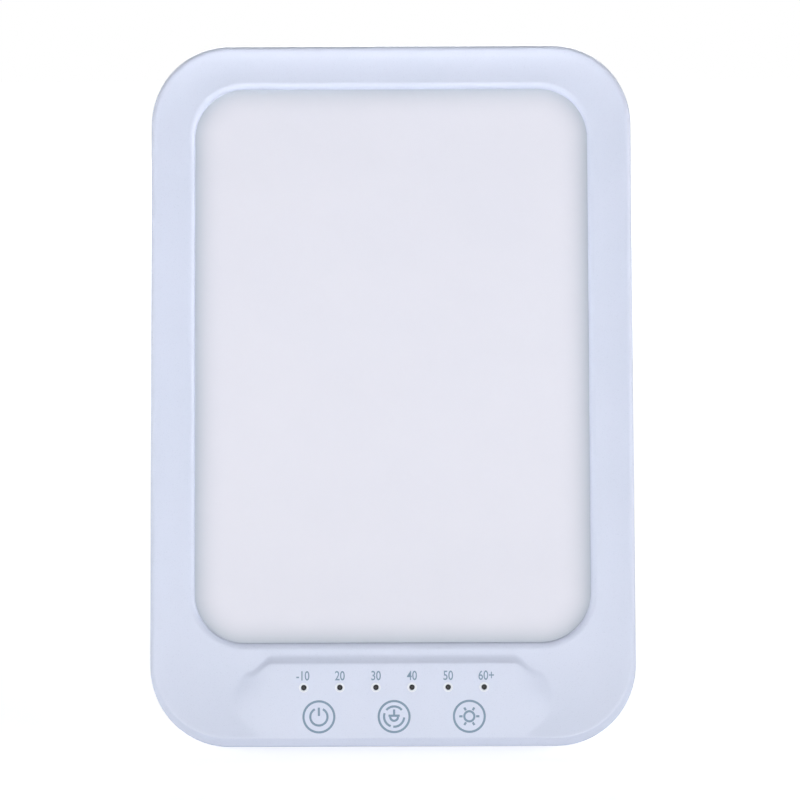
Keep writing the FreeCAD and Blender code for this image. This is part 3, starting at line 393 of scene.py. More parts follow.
# Sintered ferrite: dark grey and powdery.
ferrite = surface("sintered_ferrite", "#35353A", "#2B2B2F", (0.5, 0.7), 0.3, 0.01, cloud=3)
# Moulded nylon of connectors and washers: milky, a little waxy.
nylon = surface("moulded_white_nylon", "#E6E6E0", "#DDDDD6", (0.4, 0.5), 0.3, 0.004)
# Extruded PVC of the two leads: smooth, with a soft shine.
red_pvc = surface("red_pvc_lead", "#B5201B", "#A01A17", (0.35, 0.5), 0.3, 0.004)
black_pvc = surface("black_pvc_lead", "#161617", "#1E1E20", (0.35, 0.5), 0.3, 0.004)
print(f"{len(bpy.data.materials)} materials in all")

# %% [markdown]
# ## Mesh tools
# A frame like this bezel is a profile carried round a rounded rectangle. Each step of the profile is a
# ring: the same number of points round a rounded rectangle of some size. Rings that follow each other are
# joined by quads, and the last ring is joined to the first, which closes the solid without any caps.

# %% Rings and skins
CORNER_COLUMNS = 28
SIDE_COLUMNS = 48
TOP_COLUMNS = 32
BOTTOM_COLUMNS = 230
FINE = (BOTTOM_COLUMNS, SIDE_COLUMNS, TOP_COLUMNS, SIDE_COLUMNS)
PLAIN = (1, 1, 1, 1)
BOTTOM_STEPS = 12
SHARP = math.radians(35)


def ring(half, low, high, radius, depth, middle=0, columns=FINE, corner_columns=CORNER_COLUMNS):
    """Points round a rounded rectangle, anticlockwise from the left end of its lower side."""
    corners = [(half - radius, low + radius, -90), (half - radius, high - radius, 0),
               (radius - half, high - radius, 90), (radius - half, low + radius, 180)]
    arcs = []
    for x, z, turn in corners:
        angles = np.radians(turn + np.linspace(0, 90, corner_columns + 1))
        arcs.append(np.column_stack([middle + x + radius * np.cos(angles), z + radius * np.sin(angles)]))
    points = []
    for arc, before, count in zip(arcs, arcs[-1:] + arcs[:-1], columns):
        share = np.linspace(0, 1, count + 1)[1:-1, None]
        points += [before[-1] * (1 - share) + arc[0] * share, arc]
    outline = np.concatenate(points)
    return np.column_stack([outline[:, 0], np.full(len(outline), depth), outline[:, 1]])


def lamp_ring(inset, depth):
    """A ring at an inset from the lamp's outline."""
    return ring(HALF_WIDTH - inset, inset, HEIGHT - inset, CORNER - inset, depth)


def bottom_profile():
    """Depths and insets of the bottom edge: a tight roll, then an upright flat that cancels the lean."""
    turned = math.pi / 2 - LEAN
    corner = UPRIGHT_FLAT * math.tan(LEAN)
    reach = BOTTOM_ROLL * math.tan(turned / 2)
    turns = np.linspace(0, turned, BOTTOM_STEPS)
    depths = corner + reach - BOTTOM_ROLL * np.sin(turns)
    insets = BOTTOM_ROLL * (1 - np.cos(turns))
    return np.append(0, depths[::-1]), np.append(UPRIGHT_FLAT, insets[::-1])


def roll_ring(share, depth):
    """A ring on the bezel's outer roll, with its own profile at the bottom."""
    across, below = ROLL_ACROSS * share, np.interp(depth, *bottom_profile())
    return ring(HALF_WIDTH - across, below, HEIGHT - across, CORNER - across, depth)


def window_ring(growth, depth):
    """A ring round the window, grown outwards."""
    return ring(WINDOW_HALF + growth, WINDOW_LOW - growth, WINDOW_HIGH + growth,
                WINDOW_CORNER + growth, depth)


def closed_skin(rings):
    """Points and quads that join each ring to the next one, and the last to the first."""
    count = len(rings[0])
    quads = []
    for number in range(len(rings)):
        here = number * count
        there = (number + 1) % len(rings) * count
        for column in range(count):
            following = (column + 1) % count
            quads.append((here + column, here + following, there + following, there + column))
    return np.concatenate(rings), quads


def capped_skin(rings):
    """Points and faces of a bar that follows the rings and is closed at both ends."""
    points, quads = closed_skin(rings)
    count = len(rings[0])
    ends = [tuple(range(count)), tuple(range(len(points) - count, len(points)))[::-1]]
    return points, quads[:-count] + ends


def piece(name, points, faces, material, place=PANEL):
    """A new mesh object, its place baked into its mesh, smooth but for the sharp edges."""
    mesh = bpy.data.meshes.new(name)
    mesh.from_pydata([place @ Vector(point) for point in points], [], faces)
    work = bmesh.new()
    work.from_mesh(mesh)
    bmesh.ops.recalc_face_normals(work, faces=work.faces)
    work.to_mesh(mesh)
    work.free()
    mesh.shade_smooth()
    mesh.set_sharp_from_angle(angle=SHARP)
    mesh.materials.append(material)
    made = bpy.data.objects.new(name, mesh)
    scene.collection.objects.link(made)
    return made


# %% [markdown]
# ## The front bezel
# The real bezel is one moulding. From outside in, its section has a wall, a roll that is deeper than it is
# wide, a flat ridge, a hollow that drops towards the window, and a small rolled lip where the light window
# starts. Below the window the hollow carries a raised strip: flat on top, with a crisp upper edge and a
# hollow shoulder that fades out at both ends. The section's rings make all of it but the strip. The strip
# has a depth of its own at every point, and the face takes whichever stands prouder.

# %% The strip below the window
# The upper edge runs straight between the two ends, and past them it slants down a little.
STRIP_TOP = WINDOW_LOW - 6.6 * MM
STRIP_HALF = 41 * MM
SLANT_ACROSS = 7 * MM
SLANT_DOWN = 4 * MM
# Beside the strip its face sinks over this width, which grows to twice as much on the way down.
SIDE_SPREAD = 14 * MM
SIDE_FALL = 14 * MM
# The hollow shoulder above the edge: its height, its drop, and the round of the edge itself.
SHOULDER = 4 * MM
SHOULDER_DROP = 1.2 * CROWN_DROP
CREST = 0.25 * MM


def smooth_max(one, other, blend):
    """The larger of two values, with the change between them rounded off."""
    return (one + other + np.sqrt((one - other) ** 2 + blend ** 2)) / 2


def ease(share):
    """A soft start and a soft end between 0 and 1."""
    share = np.clip(share, 0, 1)
    return share * share * (3 - 2 * share)


def strip_depth(x, z):
    """Depth of the strip's face, sinking slowly at its sides, and of the hollow shoulder above it."""
    past = np.abs(x) - STRIP_HALF
    spread = SIDE_SPREAD * (1 + ease((STRIP_TOP - SLANT_DOWN / 2 - z) / SIDE_FALL))
    beside = SHOULDER_DROP * ease(past / spread)
    edge = STRIP_TOP - SLANT_DOWN * ease(past / SLANT_ACROSS)
    share = np.clip(smooth_max(z - edge, 0, CREST) / SHOULDER, 0, 1)
    return beside + (SHOULDER_DROP - beside) * (1 - (1 - share) ** 2)


print(f"strip {2 * STRIP_HALF / MM:.0f} mm wide, its edge {STRIP_TOP / MM:.1f} mm up")

# %% The bezel's rings
WALL_ROWS = 6
ROLL_ROWS = 31
CROWN_ROWS = 46
# Below the window, the strip's edge crosses the crown within these shares of its width, in finer rows.
EDGE_SHARES = (0.78, 0.88)
EDGE_ROWS = 24
BLEND = 0.03 * MM
# Along the top edge the ridge falls off by a hair, and the crown starts steeper.
TOP_ZONE = 45 * MM
TOP_EASE = 30 * MM
TOP_FALL = 0.13 * MM
FALL_SHARE = 0.14
TOP_STEEPER = 0.8
# The window's lip: its width on the face, and the ellipse that rolls it into the window.
LIP = 2.6 * MM
LIP_ROLL = 2.3 * MM
LIP_FALL = 1.9 * MM
LIP_RISE = 0.02 * MM
LIP_ROWS = 14


def near_top(z):
    """0 on most of the lamp, 1 along its top edge, where the ridge is rounder and the crown steeper."""
    return ease((z - HEIGHT + TOP_ZONE) / TOP_EASE)


def crown_rows():
    """Rings from the ridge of the bezel down to the foot of the window's lip."""
    shares = np.union1d(np.linspace(0, 1, CROWN_ROWS), np.linspace(*EDGE_SHARES, EDGE_ROWS))
    ridge = ring(HALF_WIDTH - ROLL_ACROSS - RIDGE_FLAT, UPRIGHT_FLAT + RIDGE_FLAT,
                 HEIGHT - ROLL_ACROSS - RIDGE_FLAT, CORNER - ROLL_ACROSS, 0)
    rim = window_ring(LIP, CROWN_DROP)
    for share in shares:
        row = ridge * (1 - share) + rim * share
        row[:, 1] = CROWN_DROP * (1 - (1 - share) ** (2 + TOP_STEEPER * near_top(row[:, 2])))
        row[:, 1] += TOP_FALL * near_top(row[:, 2]) * max(1 - share / FALL_SHARE, 0) ** 2
        raised = strip_depth(row[:, 0], row[:, 2])
        row[:, 1] = -smooth_max(-row[:, 1], -raised, BLEND)
        yield row


def roll_rings():
    """Rings of the outer wall and of the roll that turns it into the ridge."""
    rings = [lamp_ring(0, depth) for depth in np.linspace(PARTING, ROLL_DEEP, WALL_ROWS)]
    for turn in np.radians(np.linspace(0, 90, ROLL_ROWS))[1:]:
        row = roll_ring(1 - math.cos(turn), ROLL_DEEP * (1 - math.sin(turn)))
        row[:, 1] += TOP_FALL * near_top(row[:, 2]) * math.sin(turn)
        rings.append(row)
    return rings


def lip_rings():
    """Rings of the rolled lip: up out of a fine crease, over, and down into the window."""
    rings = []
    start = math.degrees(math.asin(1 - LIP / LIP_ROLL))
    for turn in np.radians(np.linspace(start, 90, LIP_ROWS)):
        growth = LIP_ROLL * (1 - math.sin(turn))
        rings.append(window_ring(growth, CROWN_DROP - LIP_RISE + LIP_FALL * (1 - math.cos(turn))))
    return rings


rings = [
    *roll_rings(),
    *crown_rows(),
    *lip_rings(),
    window_ring(0, FACE_BACK),
    window_ring(DIFFUSER_OVERLAP, FACE_BACK),
    lamp_ring(WALL, FACE_BACK),
    lamp_ring(WALL, PARTING),
]
bezel = piece("front_bezel", *closed_skin(rings), housing)
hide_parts("front_frame")
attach(bezel, "lamp")
print(f"bezel: {len(rings)} rings, {len(bezel.data.polygons)} faces")

# %% [markdown]
# ## Timer dots
# Six small holes in the strip let the smoked pins of the light guide look out. They are drilled through the
# finished face with a boolean, because a hole is far smaller than the columns of the skin.

# %% Dot holes
DOT_COUNT = 6
DOT_PITCH = 12.2 * MM
DOT_HEIGHT = 20.1 * MM
DOT_BORE = 1.9 * MM
DOT_SIDES = 32
PRINT_SHIFT = 0.3 * MM
dot_places = [((number - (DOT_COUNT - 1) / 2) * DOT_PITCH + PRINT_SHIFT, DOT_HEIGHT)
              for number in range(DOT_COUNT)]


def round_bar(x, z, radii_depths, sides=DOT_SIDES):
    """Points and faces of a turned bar along the depth, from (radius, depth) pairs, closed at both ends."""
    angles = np.linspace(0, 2 * math.pi, sides, endpoint=False)
    points = [
        (x + radius * math.cos(angle), depth, z + radius * math.sin(angle))
        for radius, depth in radii_depths
        for angle in angles
    ]
    faces = [tuple(range(sides)), tuple(range(len(points) - 1, len(points) - sides - 1, -1))]
    for row in range(len(radii_depths) - 1):
        for column in range(sides):
            following = (column + 1) % sides
            here = row * sides
            faces.append((here + column, here + following, here + sides + following, here + sides + column))
    return points, faces


def joined(parts):
    """Several (points, faces) pairs as one."""
    points, faces = [], []
    for more_points, more_faces in parts:
        start = len(points)
        points += list(more_points)
        faces += [tuple(start + index for index in face) for face in more_faces]
    return points, faces


def carve(target, cutter, operation="DIFFERENCE"):
    """Applies a boolean to a piece and removes the cutter."""
    modifier = target.modifiers.new("carve", "BOOLEAN")
    modifier.operation = operation
    modifier.solver = "EXACT"
    modifier.object = cutter
    bpy.context.view_layer.update()
    carved = bpy.data.meshes.new_from_object(target.evaluated_get(bpy.context.evaluated_depsgraph_get()))
    target.modifiers.remove(modifier)
    target.data = carved
    bpy.data.objects.remove(cutter)


def carve_all(target, operation, *shapes, place=PANEL):
    """Carves or joins several closed (points, faces) shapes, one after the other."""
    for shape in shapes:
        carve(target, piece("cutter", *shape, target.data.materials[0], place=place), operation)
    target.data.set_sharp_from_angle(angle=SHARP)


half_bore = DOT_BORE / 2
drill = [(half_bore, -MM), (half_bore, FACE_BACK + MM)]
drills = piece("drills", *joined(round_bar(x, z, drill) for x, z in dot_places), housing)
carve(bezel, drills)
bezel.data.set_sharp_from_angle(angle=SHARP)
print(f"{DOT_COUNT} dots, {DOT_PITCH / MM} mm apart; bezel now {len(bezel.data.polygons)} faces")

# %% [markdown]
# The light guide is one moulding of smoked acrylic: a bar behind the face, with a pin for every hole. A
# pin's tip is rounded and ends a little below the face, so that each dot reads as a small dark well.

# %% Light guide
PIN = 0.9 * MM
PIN_ROOT = FACE_BACK + 0.5 * MM
BAR_CORNER = 0.5 * MM
# Radius and depth of a pin's rows, from its root inside the bar to its tip.
pin_rows = [(PIN, PIN_ROOT), (PIN, 0.55 * MM), (0.85 * PIN, 0.45 * MM), (0.5 * PIN, 0.4 * MM)]
low, high = panel_box("light_guide")
guide_bar = capped_skin([ring(high.x, low.z, high.z, BAR_CORNER, depth, columns=PLAIN, corner_columns=6)
                         for depth in (FACE_BACK, high.y)])
pins = [round_bar(x, z, pin_rows) for x, z in dot_places]
guide = piece("smoked_light_guide", *guide_bar, smoked)
carve_all(guide, "UNION", *pins)
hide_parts("light_guide")
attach(guide, "lamp")
print(f"light guide: {len(pins)} pins, {len(guide.data.polygons)} faces")

# %% [markdown]
# ## The light window
# Behind the lip lies a sheet of opal acrylic. Light that falls on it enters, scatters, and comes back out
# of the white box behind it. Near the edge part of that light is lost in the frame, and the lip shades the
# sheet, so it looks greyer there. That shade is painted into the sheet's colour: the shader measures the
# distance to the window's edge and mixes a painted grey in over it.

# %% The opal sheet's painted edge shade
EDGE_SHADE = 12 * MM
EDGE_POWER = 3
# The grey of the painted shade, strongest at the window's edge, where the frame and lip shade the sheet.
PAINTED_EDGE_SHADE = "#BCC4CF"
tree = opal.node_tree
shader = tree.nodes["Principled BSDF"]
base = shader.inputs["Base Color"].links[0].from_socket
where = add(tree, "ShaderNodeTexCoord")
window_middle = (0, 0, (WINDOW_LOW + WINDOW_HIGH) / 2)
arm = (WINDOW_HALF - WINDOW_CORNER, 1, (WINDOW_HIGH - WINDOW_LOW) / 2 - WINDOW_CORNER)
unlean = PANEL.inverted()
in_panel = add(tree, "ShaderNodeMapping", {"Vector": where.outputs["Object"], "Rotation": unlean.to_euler(),
                                           "Location": unlean.to_translation()})
from_middle = add(tree, "ShaderNodeVectorMath", {0: in_panel.outputs[0], 1: window_middle},
                  operation="SUBTRACT")
folded = add(tree, "ShaderNodeVectorMath", {0: from_middle.outputs[0]}, operation="ABSOLUTE")
beyond = add(tree, "ShaderNodeVectorMath", {0: folded.outputs[0], 1: arm}, operation="SUBTRACT")
clipped = add(tree, "ShaderNodeVectorMath", {0: beyond.outputs[0], 1: (0, 0, 0)}, operation="MAXIMUM")
reach = add(tree, "ShaderNodeVectorMath", {0: clipped.outputs[0]}, operation="LENGTH")
shade = add(tree, "ShaderNodeMapRange", {"Value": reach.outputs["Value"],
                                         "From Min": WINDOW_CORNER - EDGE_SHADE,
                                         "From Max": WINDOW_CORNER})
fall = add(tree, "ShaderNodeMath", {0: shade.outputs[0], 1: EDGE_POWER}, operation="POWER")
shaded = add(tree, "ShaderNodeMix", {0: fall.outputs[0], 6: base, 7: linear(PAINTED_EDGE_SHADE)}, data_type="RGBA")
tree.links.new(shaded.outputs[2], shader.inputs["Base Color"])
print(f"the sheet turns greyer over the last {EDGE_SHADE / MM:.0f} mm")

# %% Opal sheet
# Cast sheet is sawn to size, and its sawn edges are chamfered.
SHEET_CHAMFER = 0.25 * MM
low, high = panel_box("diffuser")
sheet_rings = [
    window_ring(DIFFUSER_OVERLAP - SHEET_CHAMFER, low.y),
    window_ring(DIFFUSER_OVERLAP, low.y + SHEET_CHAMFER),
    window_ring(DIFFUSER_OVERLAP, high.y - SHEET_CHAMFER),
    window_ring(DIFFUSER_OVERLAP - SHEET_CHAMFER, high.y),
]
sheet = piece("opal_sheet", *capped_skin(sheet_rings), opal)
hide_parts("diffuser")
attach(sheet, "lamp")
print(f"opal sheet {(high.y - low.y) / MM:.1f} mm thick")

# %% [markdown]
# ## Printing on the strip
# The numbers and the keys are pad-printed: a film of ink a few hundredths of a millimetre thick. A pale
# ring round each dot is laid on as the same kind of thin film. Each stroke is a thin closed slab, half sunk
# in the face, so that it never flickers against it.

# %% Ink strokes
INK = 0.03 * MM
LINE = 0.74 * MM


def stroke(points, width=LINE):
    """A slab of ink along a line of (x, z) points; closed into a loop if it ends where it starts."""
    path = np.array(points, float)
    loop = np.allclose(path[0], path[-1])
    path = path[:-1] if loop else path
    ahead = np.roll(path, -1, axis=0) - path
    if not loop:
        ahead[-1] = ahead[-2]
    behind = np.roll(ahead, 1, axis=0)
    if not loop:
        behind[0] = ahead[0]
    along = sum(step / np.linalg.norm(step, axis=1)[:, None] for step in (ahead, behind))
    along /= np.linalg.norm(along, axis=1)[:, None]
    aside = np.column_stack([-along[:, 1], along[:, 0]]) * width / 2
    corners = [(path + aside, -INK), (path - aside, -INK), (path - aside, INK), (path + aside, INK)]
    vertices = np.concatenate([np.column_stack([p[:, 0], np.full(len(p), depth), p[:, 1]])
                               for p, depth in corners])
    count = len(path)
    faces = []
    for column in range(count if loop else count - 1):
        following = (column + 1) % count
        for side in range(4):
            here, there = side * count, (side + 1) % 4 * count
            faces.append((here + column, here + following, there + following, there + column))
    if not loop:
        faces += [(0, count, 2 * count, 3 * count)[::-1],
                  (count - 1, 2 * count - 1, 3 * count - 1, 4 * count - 1)]
    return vertices, faces


def arc(x, z, radius, start, end, steps=40):
    """Points of an arc, in degrees anticlockwise from the right."""
    angles = np.radians(np.linspace(start, end, steps + 1))
    return np.column_stack([x + radius * np.cos(angles), z + radius * np.sin(angles)])


# %% Touch keys
KEY_PITCH = 25.4 * MM
KEY_HEIGHT = 10.3 * MM
KEY_RING = 5.2 * MM


def power_mark(x, z):
    """A ring open at the top with a bar in the gap."""
    half_gap = 28
    opened = arc(x, z, 2.9 * MM, 90 + half_gap, 450 - half_gap)
    bar = [(x, z + 0.3 * MM), (x, z + 3.1 * MM)]
    return [stroke(opened), stroke(bar)]


def mode_mark(x, z):
    """A broken ring round a small hanging lamp."""
    broken = [arc(x, z, 3.4 * MM, start, end) for start, end in ((40, 140), (160, 250), (265, 355))]
    cord = [(x, z + 0.6 * MM), (x, z + 2.4 * MM)]
    brim = [(x - 1.9 * MM, z + 0.3 * MM), (x + 1.9 * MM, z + 0.3 * MM)]
    bulb = arc(x, z - 0.1 * MM, 1.3 * MM, 180, 360)
    return [stroke(line) for line in (*broken, cord, brim, bulb)]


def light_mark(x, z):
    """A small sun with six rays."""
    disc = arc(x, z, 1.7 * MM, 0, 360)
    rays = [[(x + r * math.cos(turn), z + r * math.sin(turn)) for r in (2.3 * MM, 3.4 * MM)]
            for turn in np.radians(range(0, 360, 60))]
    return [stroke(line) for line in (disc, *rays)]


marks = []
for column, mark in ((-1, power_mark), (0, mode_mark), (1, light_mark)):
    x = column * KEY_PITCH + PRINT_SHIFT
    marks += [stroke(arc(x, KEY_HEIGHT, KEY_RING, 0, 360, 72)), *mark(x, KEY_HEIGHT)]
keys = piece("key_print", *joined(marks), ink)
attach(keys, "lamp")
print(f"key print: {len(marks)} strokes, each {LINE / MM} mm wide")

# %% Rings round the dots
# A pale ring sets each dark dot off from the face.
HALO_RADIUS = 1.3 * MM
HALO_WIDTH = 0.68 * MM
halos = [stroke(arc(x, z, HALO_RADIUS, 0, 360, 48), HALO_WIDTH) for x, z in dot_places]
pale_rings_piece = piece("dot_pale_rings", *joined(halos), pale_ring_film)
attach(pale_rings_piece, "lamp")
print(f"{len(halos)} rings, {2 * HALO_RADIUS / MM} mm across")

# %% [markdown]
# The numbers are set as text in Blender's own font, narrowed and made a touch bolder, as a printing plate
# spreads its ink a little. The text then becomes a mesh, like any other piece.

# %% Numbers
NUMBER_SIZE = 4.45 * MM
NUMBER_WIDTH = 0.78
NUMBER_HEIGHT = 23.9 * MM
NUMBER_WEIGHT = 0.045 * MM


def number_print(name, text, x):
    """A number as a thin slab of ink, centred over its dot."""
    curve = bpy.data.curves.new(name, "FONT")
    curve.body = text
    curve.size = NUMBER_SIZE
    curve.align_x = "CENTER"
    curve.align_y = "CENTER"
    curve.extrude = INK
    curve.offset = NUMBER_WEIGHT
    curve.resolution_u = 4
    drawn = bpy.data.objects.new(name, curve)
    scene.collection.objects.link(drawn)
    bpy.context.view_layer.update()
    mesh = bpy.data.meshes.new_from_object(drawn.evaluated_get(bpy.context.evaluated_depsgraph_get()))
    bpy.data.objects.remove(drawn)
    mesh.transform(
        PANEL @ Matrix.Translation((x, 0, NUMBER_HEIGHT)) @ Matrix.Rotation(math.radians(90), 4, "X")
        @ Matrix.Diagonal((NUMBER_WIDTH, 1, 1, 1))
    )
    mesh.materials.clear()
    mesh.materials.append(ink)
    made = bpy.data.objects.new(name, mesh)
    scene.collection.objects.link(made)
    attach(made, "lamp")
    return made


# A sign beside the digits pulls the number off its dot, so the first and the last are set aside a little.
hanging = {"-10": -0.3 * MM, "60+": 0.7 * MM}
for text, (x, _) in zip(("-10", "20", "30", "40", "50", "60+"), dot_places):
    label = number_print(f"number_{text.strip('-+')}", text, x + hanging.get(text, 0))
    print(text, "is", round(label.dimensions.x / MM, 2), "x", round(label.dimensions.z / MM, 2), "mm")

# %% [markdown]
# ## The rear cover
# The back is a second moulding: a deep tray whose sides taper inwards, so that it could leave its mould,
# and turn into the flat back by a small round. Every opening in it has a softly rounded rim, because a
# sharp moulded edge would chip. A cutter that flares out at its rear end makes such a rim in one go.

# %% Sizes of the rear cover
REVEAL = 0.5 * MM
TAPER = 4.5 * MM
COVER_ROUND = 3.2 * MM
RIM = 0.45 * MM
FINE_RIM = 0.3 * MM
pin_low, pin_high = panel_box("hinge_pins")
HINGE_DEPTH = (pin_low.y + pin_high.y) / 2
HINGE_HEIGHT = (pin_low.z + pin_high.z) / 2
RECESS_HALF = 31.8 * MM
RECESS_FLOOR = 18.9 * MM
RECESS_TOP = 121.53 * MM
RECESS_WALL = 1.8 * MM
print(f"cover {(REAR - PARTING) / MM:.1f} mm deep, hinge {HINGE_HEIGHT / MM:.1f} mm up")


def cover_inset(depth):
    """How far the tapered side stands in from the lamp's outline at a depth."""
    return REVEAL + (depth - PARTING) / (REAR - PARTING) * TAPER


def cover_ring(inset, depth):
    """A ring round the rear cover."""
    return ring(HALF_WIDTH - inset, inset, HEIGHT - inset, CORNER - inset, depth, columns=PLAIN)


def rim_rows(start, end=REAR, rim=RIM):
    """(growth, depth) rows of a cutter that flares out where it leaves the surface at the end."""
    way = 1 if end > start else -1
    rows = [(0, start)]
    for turn in np.radians(np.linspace(0, 90, 6)):
        rows.append((rim * (1 - math.cos(turn)), end - way * rim * (1 - math.sin(turn))))
    return [*rows, (rim, end + way * MM)]


def slot_cutter(half, low, high, radius, rows, middle=0):
    """A cutter with a rounded rectangular section."""
    return capped_skin([
        ring(half + growth, low - growth, high + growth, radius + growth, depth, middle, PLAIN, 8)
        for growth, depth in rows
    ])


def bore_cutter(x, z, radius, rows):
    """A cutter with a round section."""
    return round_bar(x, z, [(radius + growth, depth) for growth, depth in rows])


def prism(profile, half):
    """A solid with a side profile of (depth, height) points, as wide as twice the half."""
    count = len(profile)
    points = [(side * half, y, z) for side in (-1, 1) for y, z in profile]
    faces = [tuple(range(count)), tuple(range(count, 2 * count))[::-1]]
    faces += [(i, (i + 1) % count, count + (i + 1) % count, count + i) for i in range(count)]
    return points, faces


# %% Tray, recess for the leg, bosses
SCREW_X = 73.6 * MM
SCREW_SEAT = 20 * MM
SCREW_HEIGHTS = (24 * MM, 120 * MM, 216 * MM)
BOSS = 3.7 * MM
screw_places = [(side * SCREW_X, z) for side in (-1, 1) for z in SCREW_HEIGHTS]
tray = [cover_ring(cover_inset(depth), depth) for depth in (PARTING, REAR - COVER_ROUND)]
for turn in np.radians(np.linspace(0, 90, 11))[1:]:
    inset = cover_inset(REAR - COVER_ROUND) + COVER_ROUND * (1 - math.cos(turn))
    tray.append(cover_ring(inset, REAR - COVER_ROUND * (1 - math.sin(turn))))
inner = [cover_ring(cover_inset(depth) + WALL, depth) for depth in (REAR - WALL, PARTING)]
points, quads = closed_skin([*tray, *inner])
# The quads that would join the flat back to the inner floor make way for one face on each.
count = len(tray[0])
start = (len(tray) - 1) * count
quads = [quad for quad in quads if not (min(quad) >= start and max(quad) < start + 2 * count)]
quads += [tuple(range(start, start + count)), tuple(range(start + count, start + 2 * count))[::-1]]
shell = piece("rear_shell", points, quads, housing)

HALF_WALL = WALL / 2
housing_top = RECESS_TOP + RECESS_WALL
FLOOR_INSIDE = RECESS_FLOOR - RECESS_WALL
recess_block = prism([(FLOOR_INSIDE, cover_inset(FLOOR_INSIDE) + HALF_WALL),
                      (REAR - HALF_WALL, cover_inset(REAR) + HALF_WALL),
                      (REAR - HALF_WALL, housing_top), (FLOOR_INSIDE, housing_top)],
                     RECESS_HALF + RECESS_WALL)
bosses = [round_bar(x, z, [(BOSS, PARTING + 0.1 * MM), (BOSS, REAR - HALF_WALL)]) for x, z in screw_places]
carve_all(shell, "UNION", recess_block, *bosses)
print(f"tray with {len(bosses)} screw bosses, {len(shell.data.polygons)} faces")

# %% [markdown]
# The vents let out the warmth of the LEDs, a well leads the screwdriver to each screw, the bore takes the
# power plug, and the recess takes the folded leg.

# %% Openings
VENT_HALF = 1 * MM
VENT_LOW = 182 * MM
VENT_HIGH = 208 * MM
VENT_CORNER = 0.98 * MM
# Nine vents side by side; these places are in millimetres.
VENTS_ACROSS = range(-32, 33, 8)
vent_rows = rim_rows(REAR - 2 * WALL, rim=FINE_RIM)
vents = [slot_cutter(VENT_HALF, VENT_LOW, VENT_HIGH, VENT_CORNER, vent_rows, x * MM) for x in VENTS_ACROSS]
WELL = 2.8 * MM
CLEARANCE = 1.6 * MM
wells = [bore_cutter(x, z, WELL, rim_rows(SCREW_SEAT, rim=FINE_RIM)) for x, z in screw_places]
clearances = [round_bar(x, z, [(CLEARANCE, PARTING - MM), (CLEARANCE, SCREW_SEAT + MM)])
              for x, z in screw_places]
INLET_X = -43 * MM
INLET_HEIGHT = 17 * MM
INLET_BORE = 5.5 * MM
INLET_RIM = 0.6 * MM
inlet_bore = bore_cutter(INLET_X, INLET_HEIGHT, INLET_BORE, rim_rows(REAR - 2 * WALL, rim=INLET_RIM))
# The recess is open at the bottom, so its cutter starts below the lamp.
RECESS_START = -8 * MM
RECESS_CORNER = 1 * MM
recess = slot_cutter(RECESS_HALF, RECESS_START, RECESS_TOP, RECESS_CORNER, rim_rows(RECESS_FLOOR))
carve_all(shell, "DIFFERENCE", recess, *wells, *clearances, inlet_bore, *vents)
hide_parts("rear_cover")
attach(shell, "lamp")
print(f"rear shell: {len(shell.data.polygons)} faces")

# %% [markdown]
# ## Housing screws
# Six pan-head screws sit deep in their wells. Seen from behind, it is the cross recess and the small dome
# of the head that say "screw", so both are modelled on one screw, which is then repeated.

# %% Screws
TIP = 0.9 * MM
SHANK = 1.3 * MM
HEAD = 2.5 * MM
CROSS_HALF = 1.4 * MM
CROSS_THIN = 0.35 * MM
CROSS_CORNER = 0.1 * MM
# Radius and depth, from the screw's tip over its shank and seat to the rim of its head, and then its dome.
head_rows = [(TIP, 6 * MM), (SHANK, 7.2 * MM), (SHANK, SCREW_SEAT), (HEAD, SCREW_SEAT),
             (HEAD, SCREW_SEAT + 0.9 * MM)]
head_rows += [(HEAD - 1.5 * MM * (1 - math.cos(turn)), SCREW_SEAT + (0.9 + 0.9 * math.sin(turn)) * MM)
              for turn in np.radians(np.linspace(10, 90, 8))]
screw = piece("screw", *round_bar(0, 0, head_rows), zinc, place=Matrix())
cross = slot_cutter(CROSS_HALF, -CROSS_THIN, CROSS_THIN, CROSS_CORNER,
                    [(0, SCREW_SEAT + 0.7 * MM), (CROSS_CORNER, REAR)])
across = np.array(cross[0])[:, [2, 1, 0]]
carve_all(screw, "DIFFERENCE", cross, (across, [face[::-1] for face in cross[1]]), place=Matrix())
one = [tuple(vertex.co) for vertex in screw.data.vertices]
faces = [tuple(polygon.vertices) for polygon in screw.data.polygons]
copies = [([(px + x, py, pz + z) for px, py, pz in one], faces) for x, z in screw_places]
bpy.data.objects.remove(screw)
fasteners = piece("cover_screws", *joined(copies), zinc)
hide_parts("housing_screws")
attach(fasteners, "lamp")
print(f"{len(copies)} screws, {len(fasteners.data.polygons)} faces")

# %% [markdown]
# ## The leg
# The leg is a ribbed plate with a barrel at its top that turns on two steel pins. A heel behind the barrel
# meets the floor of the recess and stops the leg at its working angle. The outer edges are rounded for the
# fingers that pull it out; its inner side is cored out into bays, so that the moulding cools evenly.

# %% Leg
OPEN_ANGLE = math.radians(27)
LEG_HALF = 31 * MM
LEG_LENGTH = 106.49 * MM
LEG_FACE = 2.7 * MM
LEG_CORNER = 8 * MM
INNER_ROUND = 0.5 * MM
OUTER_ROUND = 1 * MM
BARREL = 3.2 * MM
LEG = PANEL @ Matrix.Translation((0, HINGE_DEPTH, HINGE_HEIGHT)) @ Matrix.Rotation(OPEN_ANGLE, 4, "X")


def leg_ring(inset, depth):
    """A ring round the leg, seen from behind."""
    return ring(LEG_HALF - inset, inset - LEG_LENGTH, LEG_CORNER - inset, LEG_CORNER - inset, depth,
                columns=PLAIN, corner_columns=16)


def edge_rows(face, edge):
    """(inset, depth) rows of a rounded outer edge that ends on a face."""
    way = math.copysign(1, face)
    return [(edge * (1 - math.sin(turn)), face - way * edge * (1 - math.cos(turn)))
            for turn in np.radians(np.linspace(0, 90, 6))]


leg_rows = [*edge_rows(-LEG_FACE, INNER_ROUND), *edge_rows(LEG_FACE, OUTER_ROUND)[::-1]]
leg = piece("leg", *capped_skin([leg_ring(inset, depth) for inset, depth in leg_rows]), housing, place=LEG)
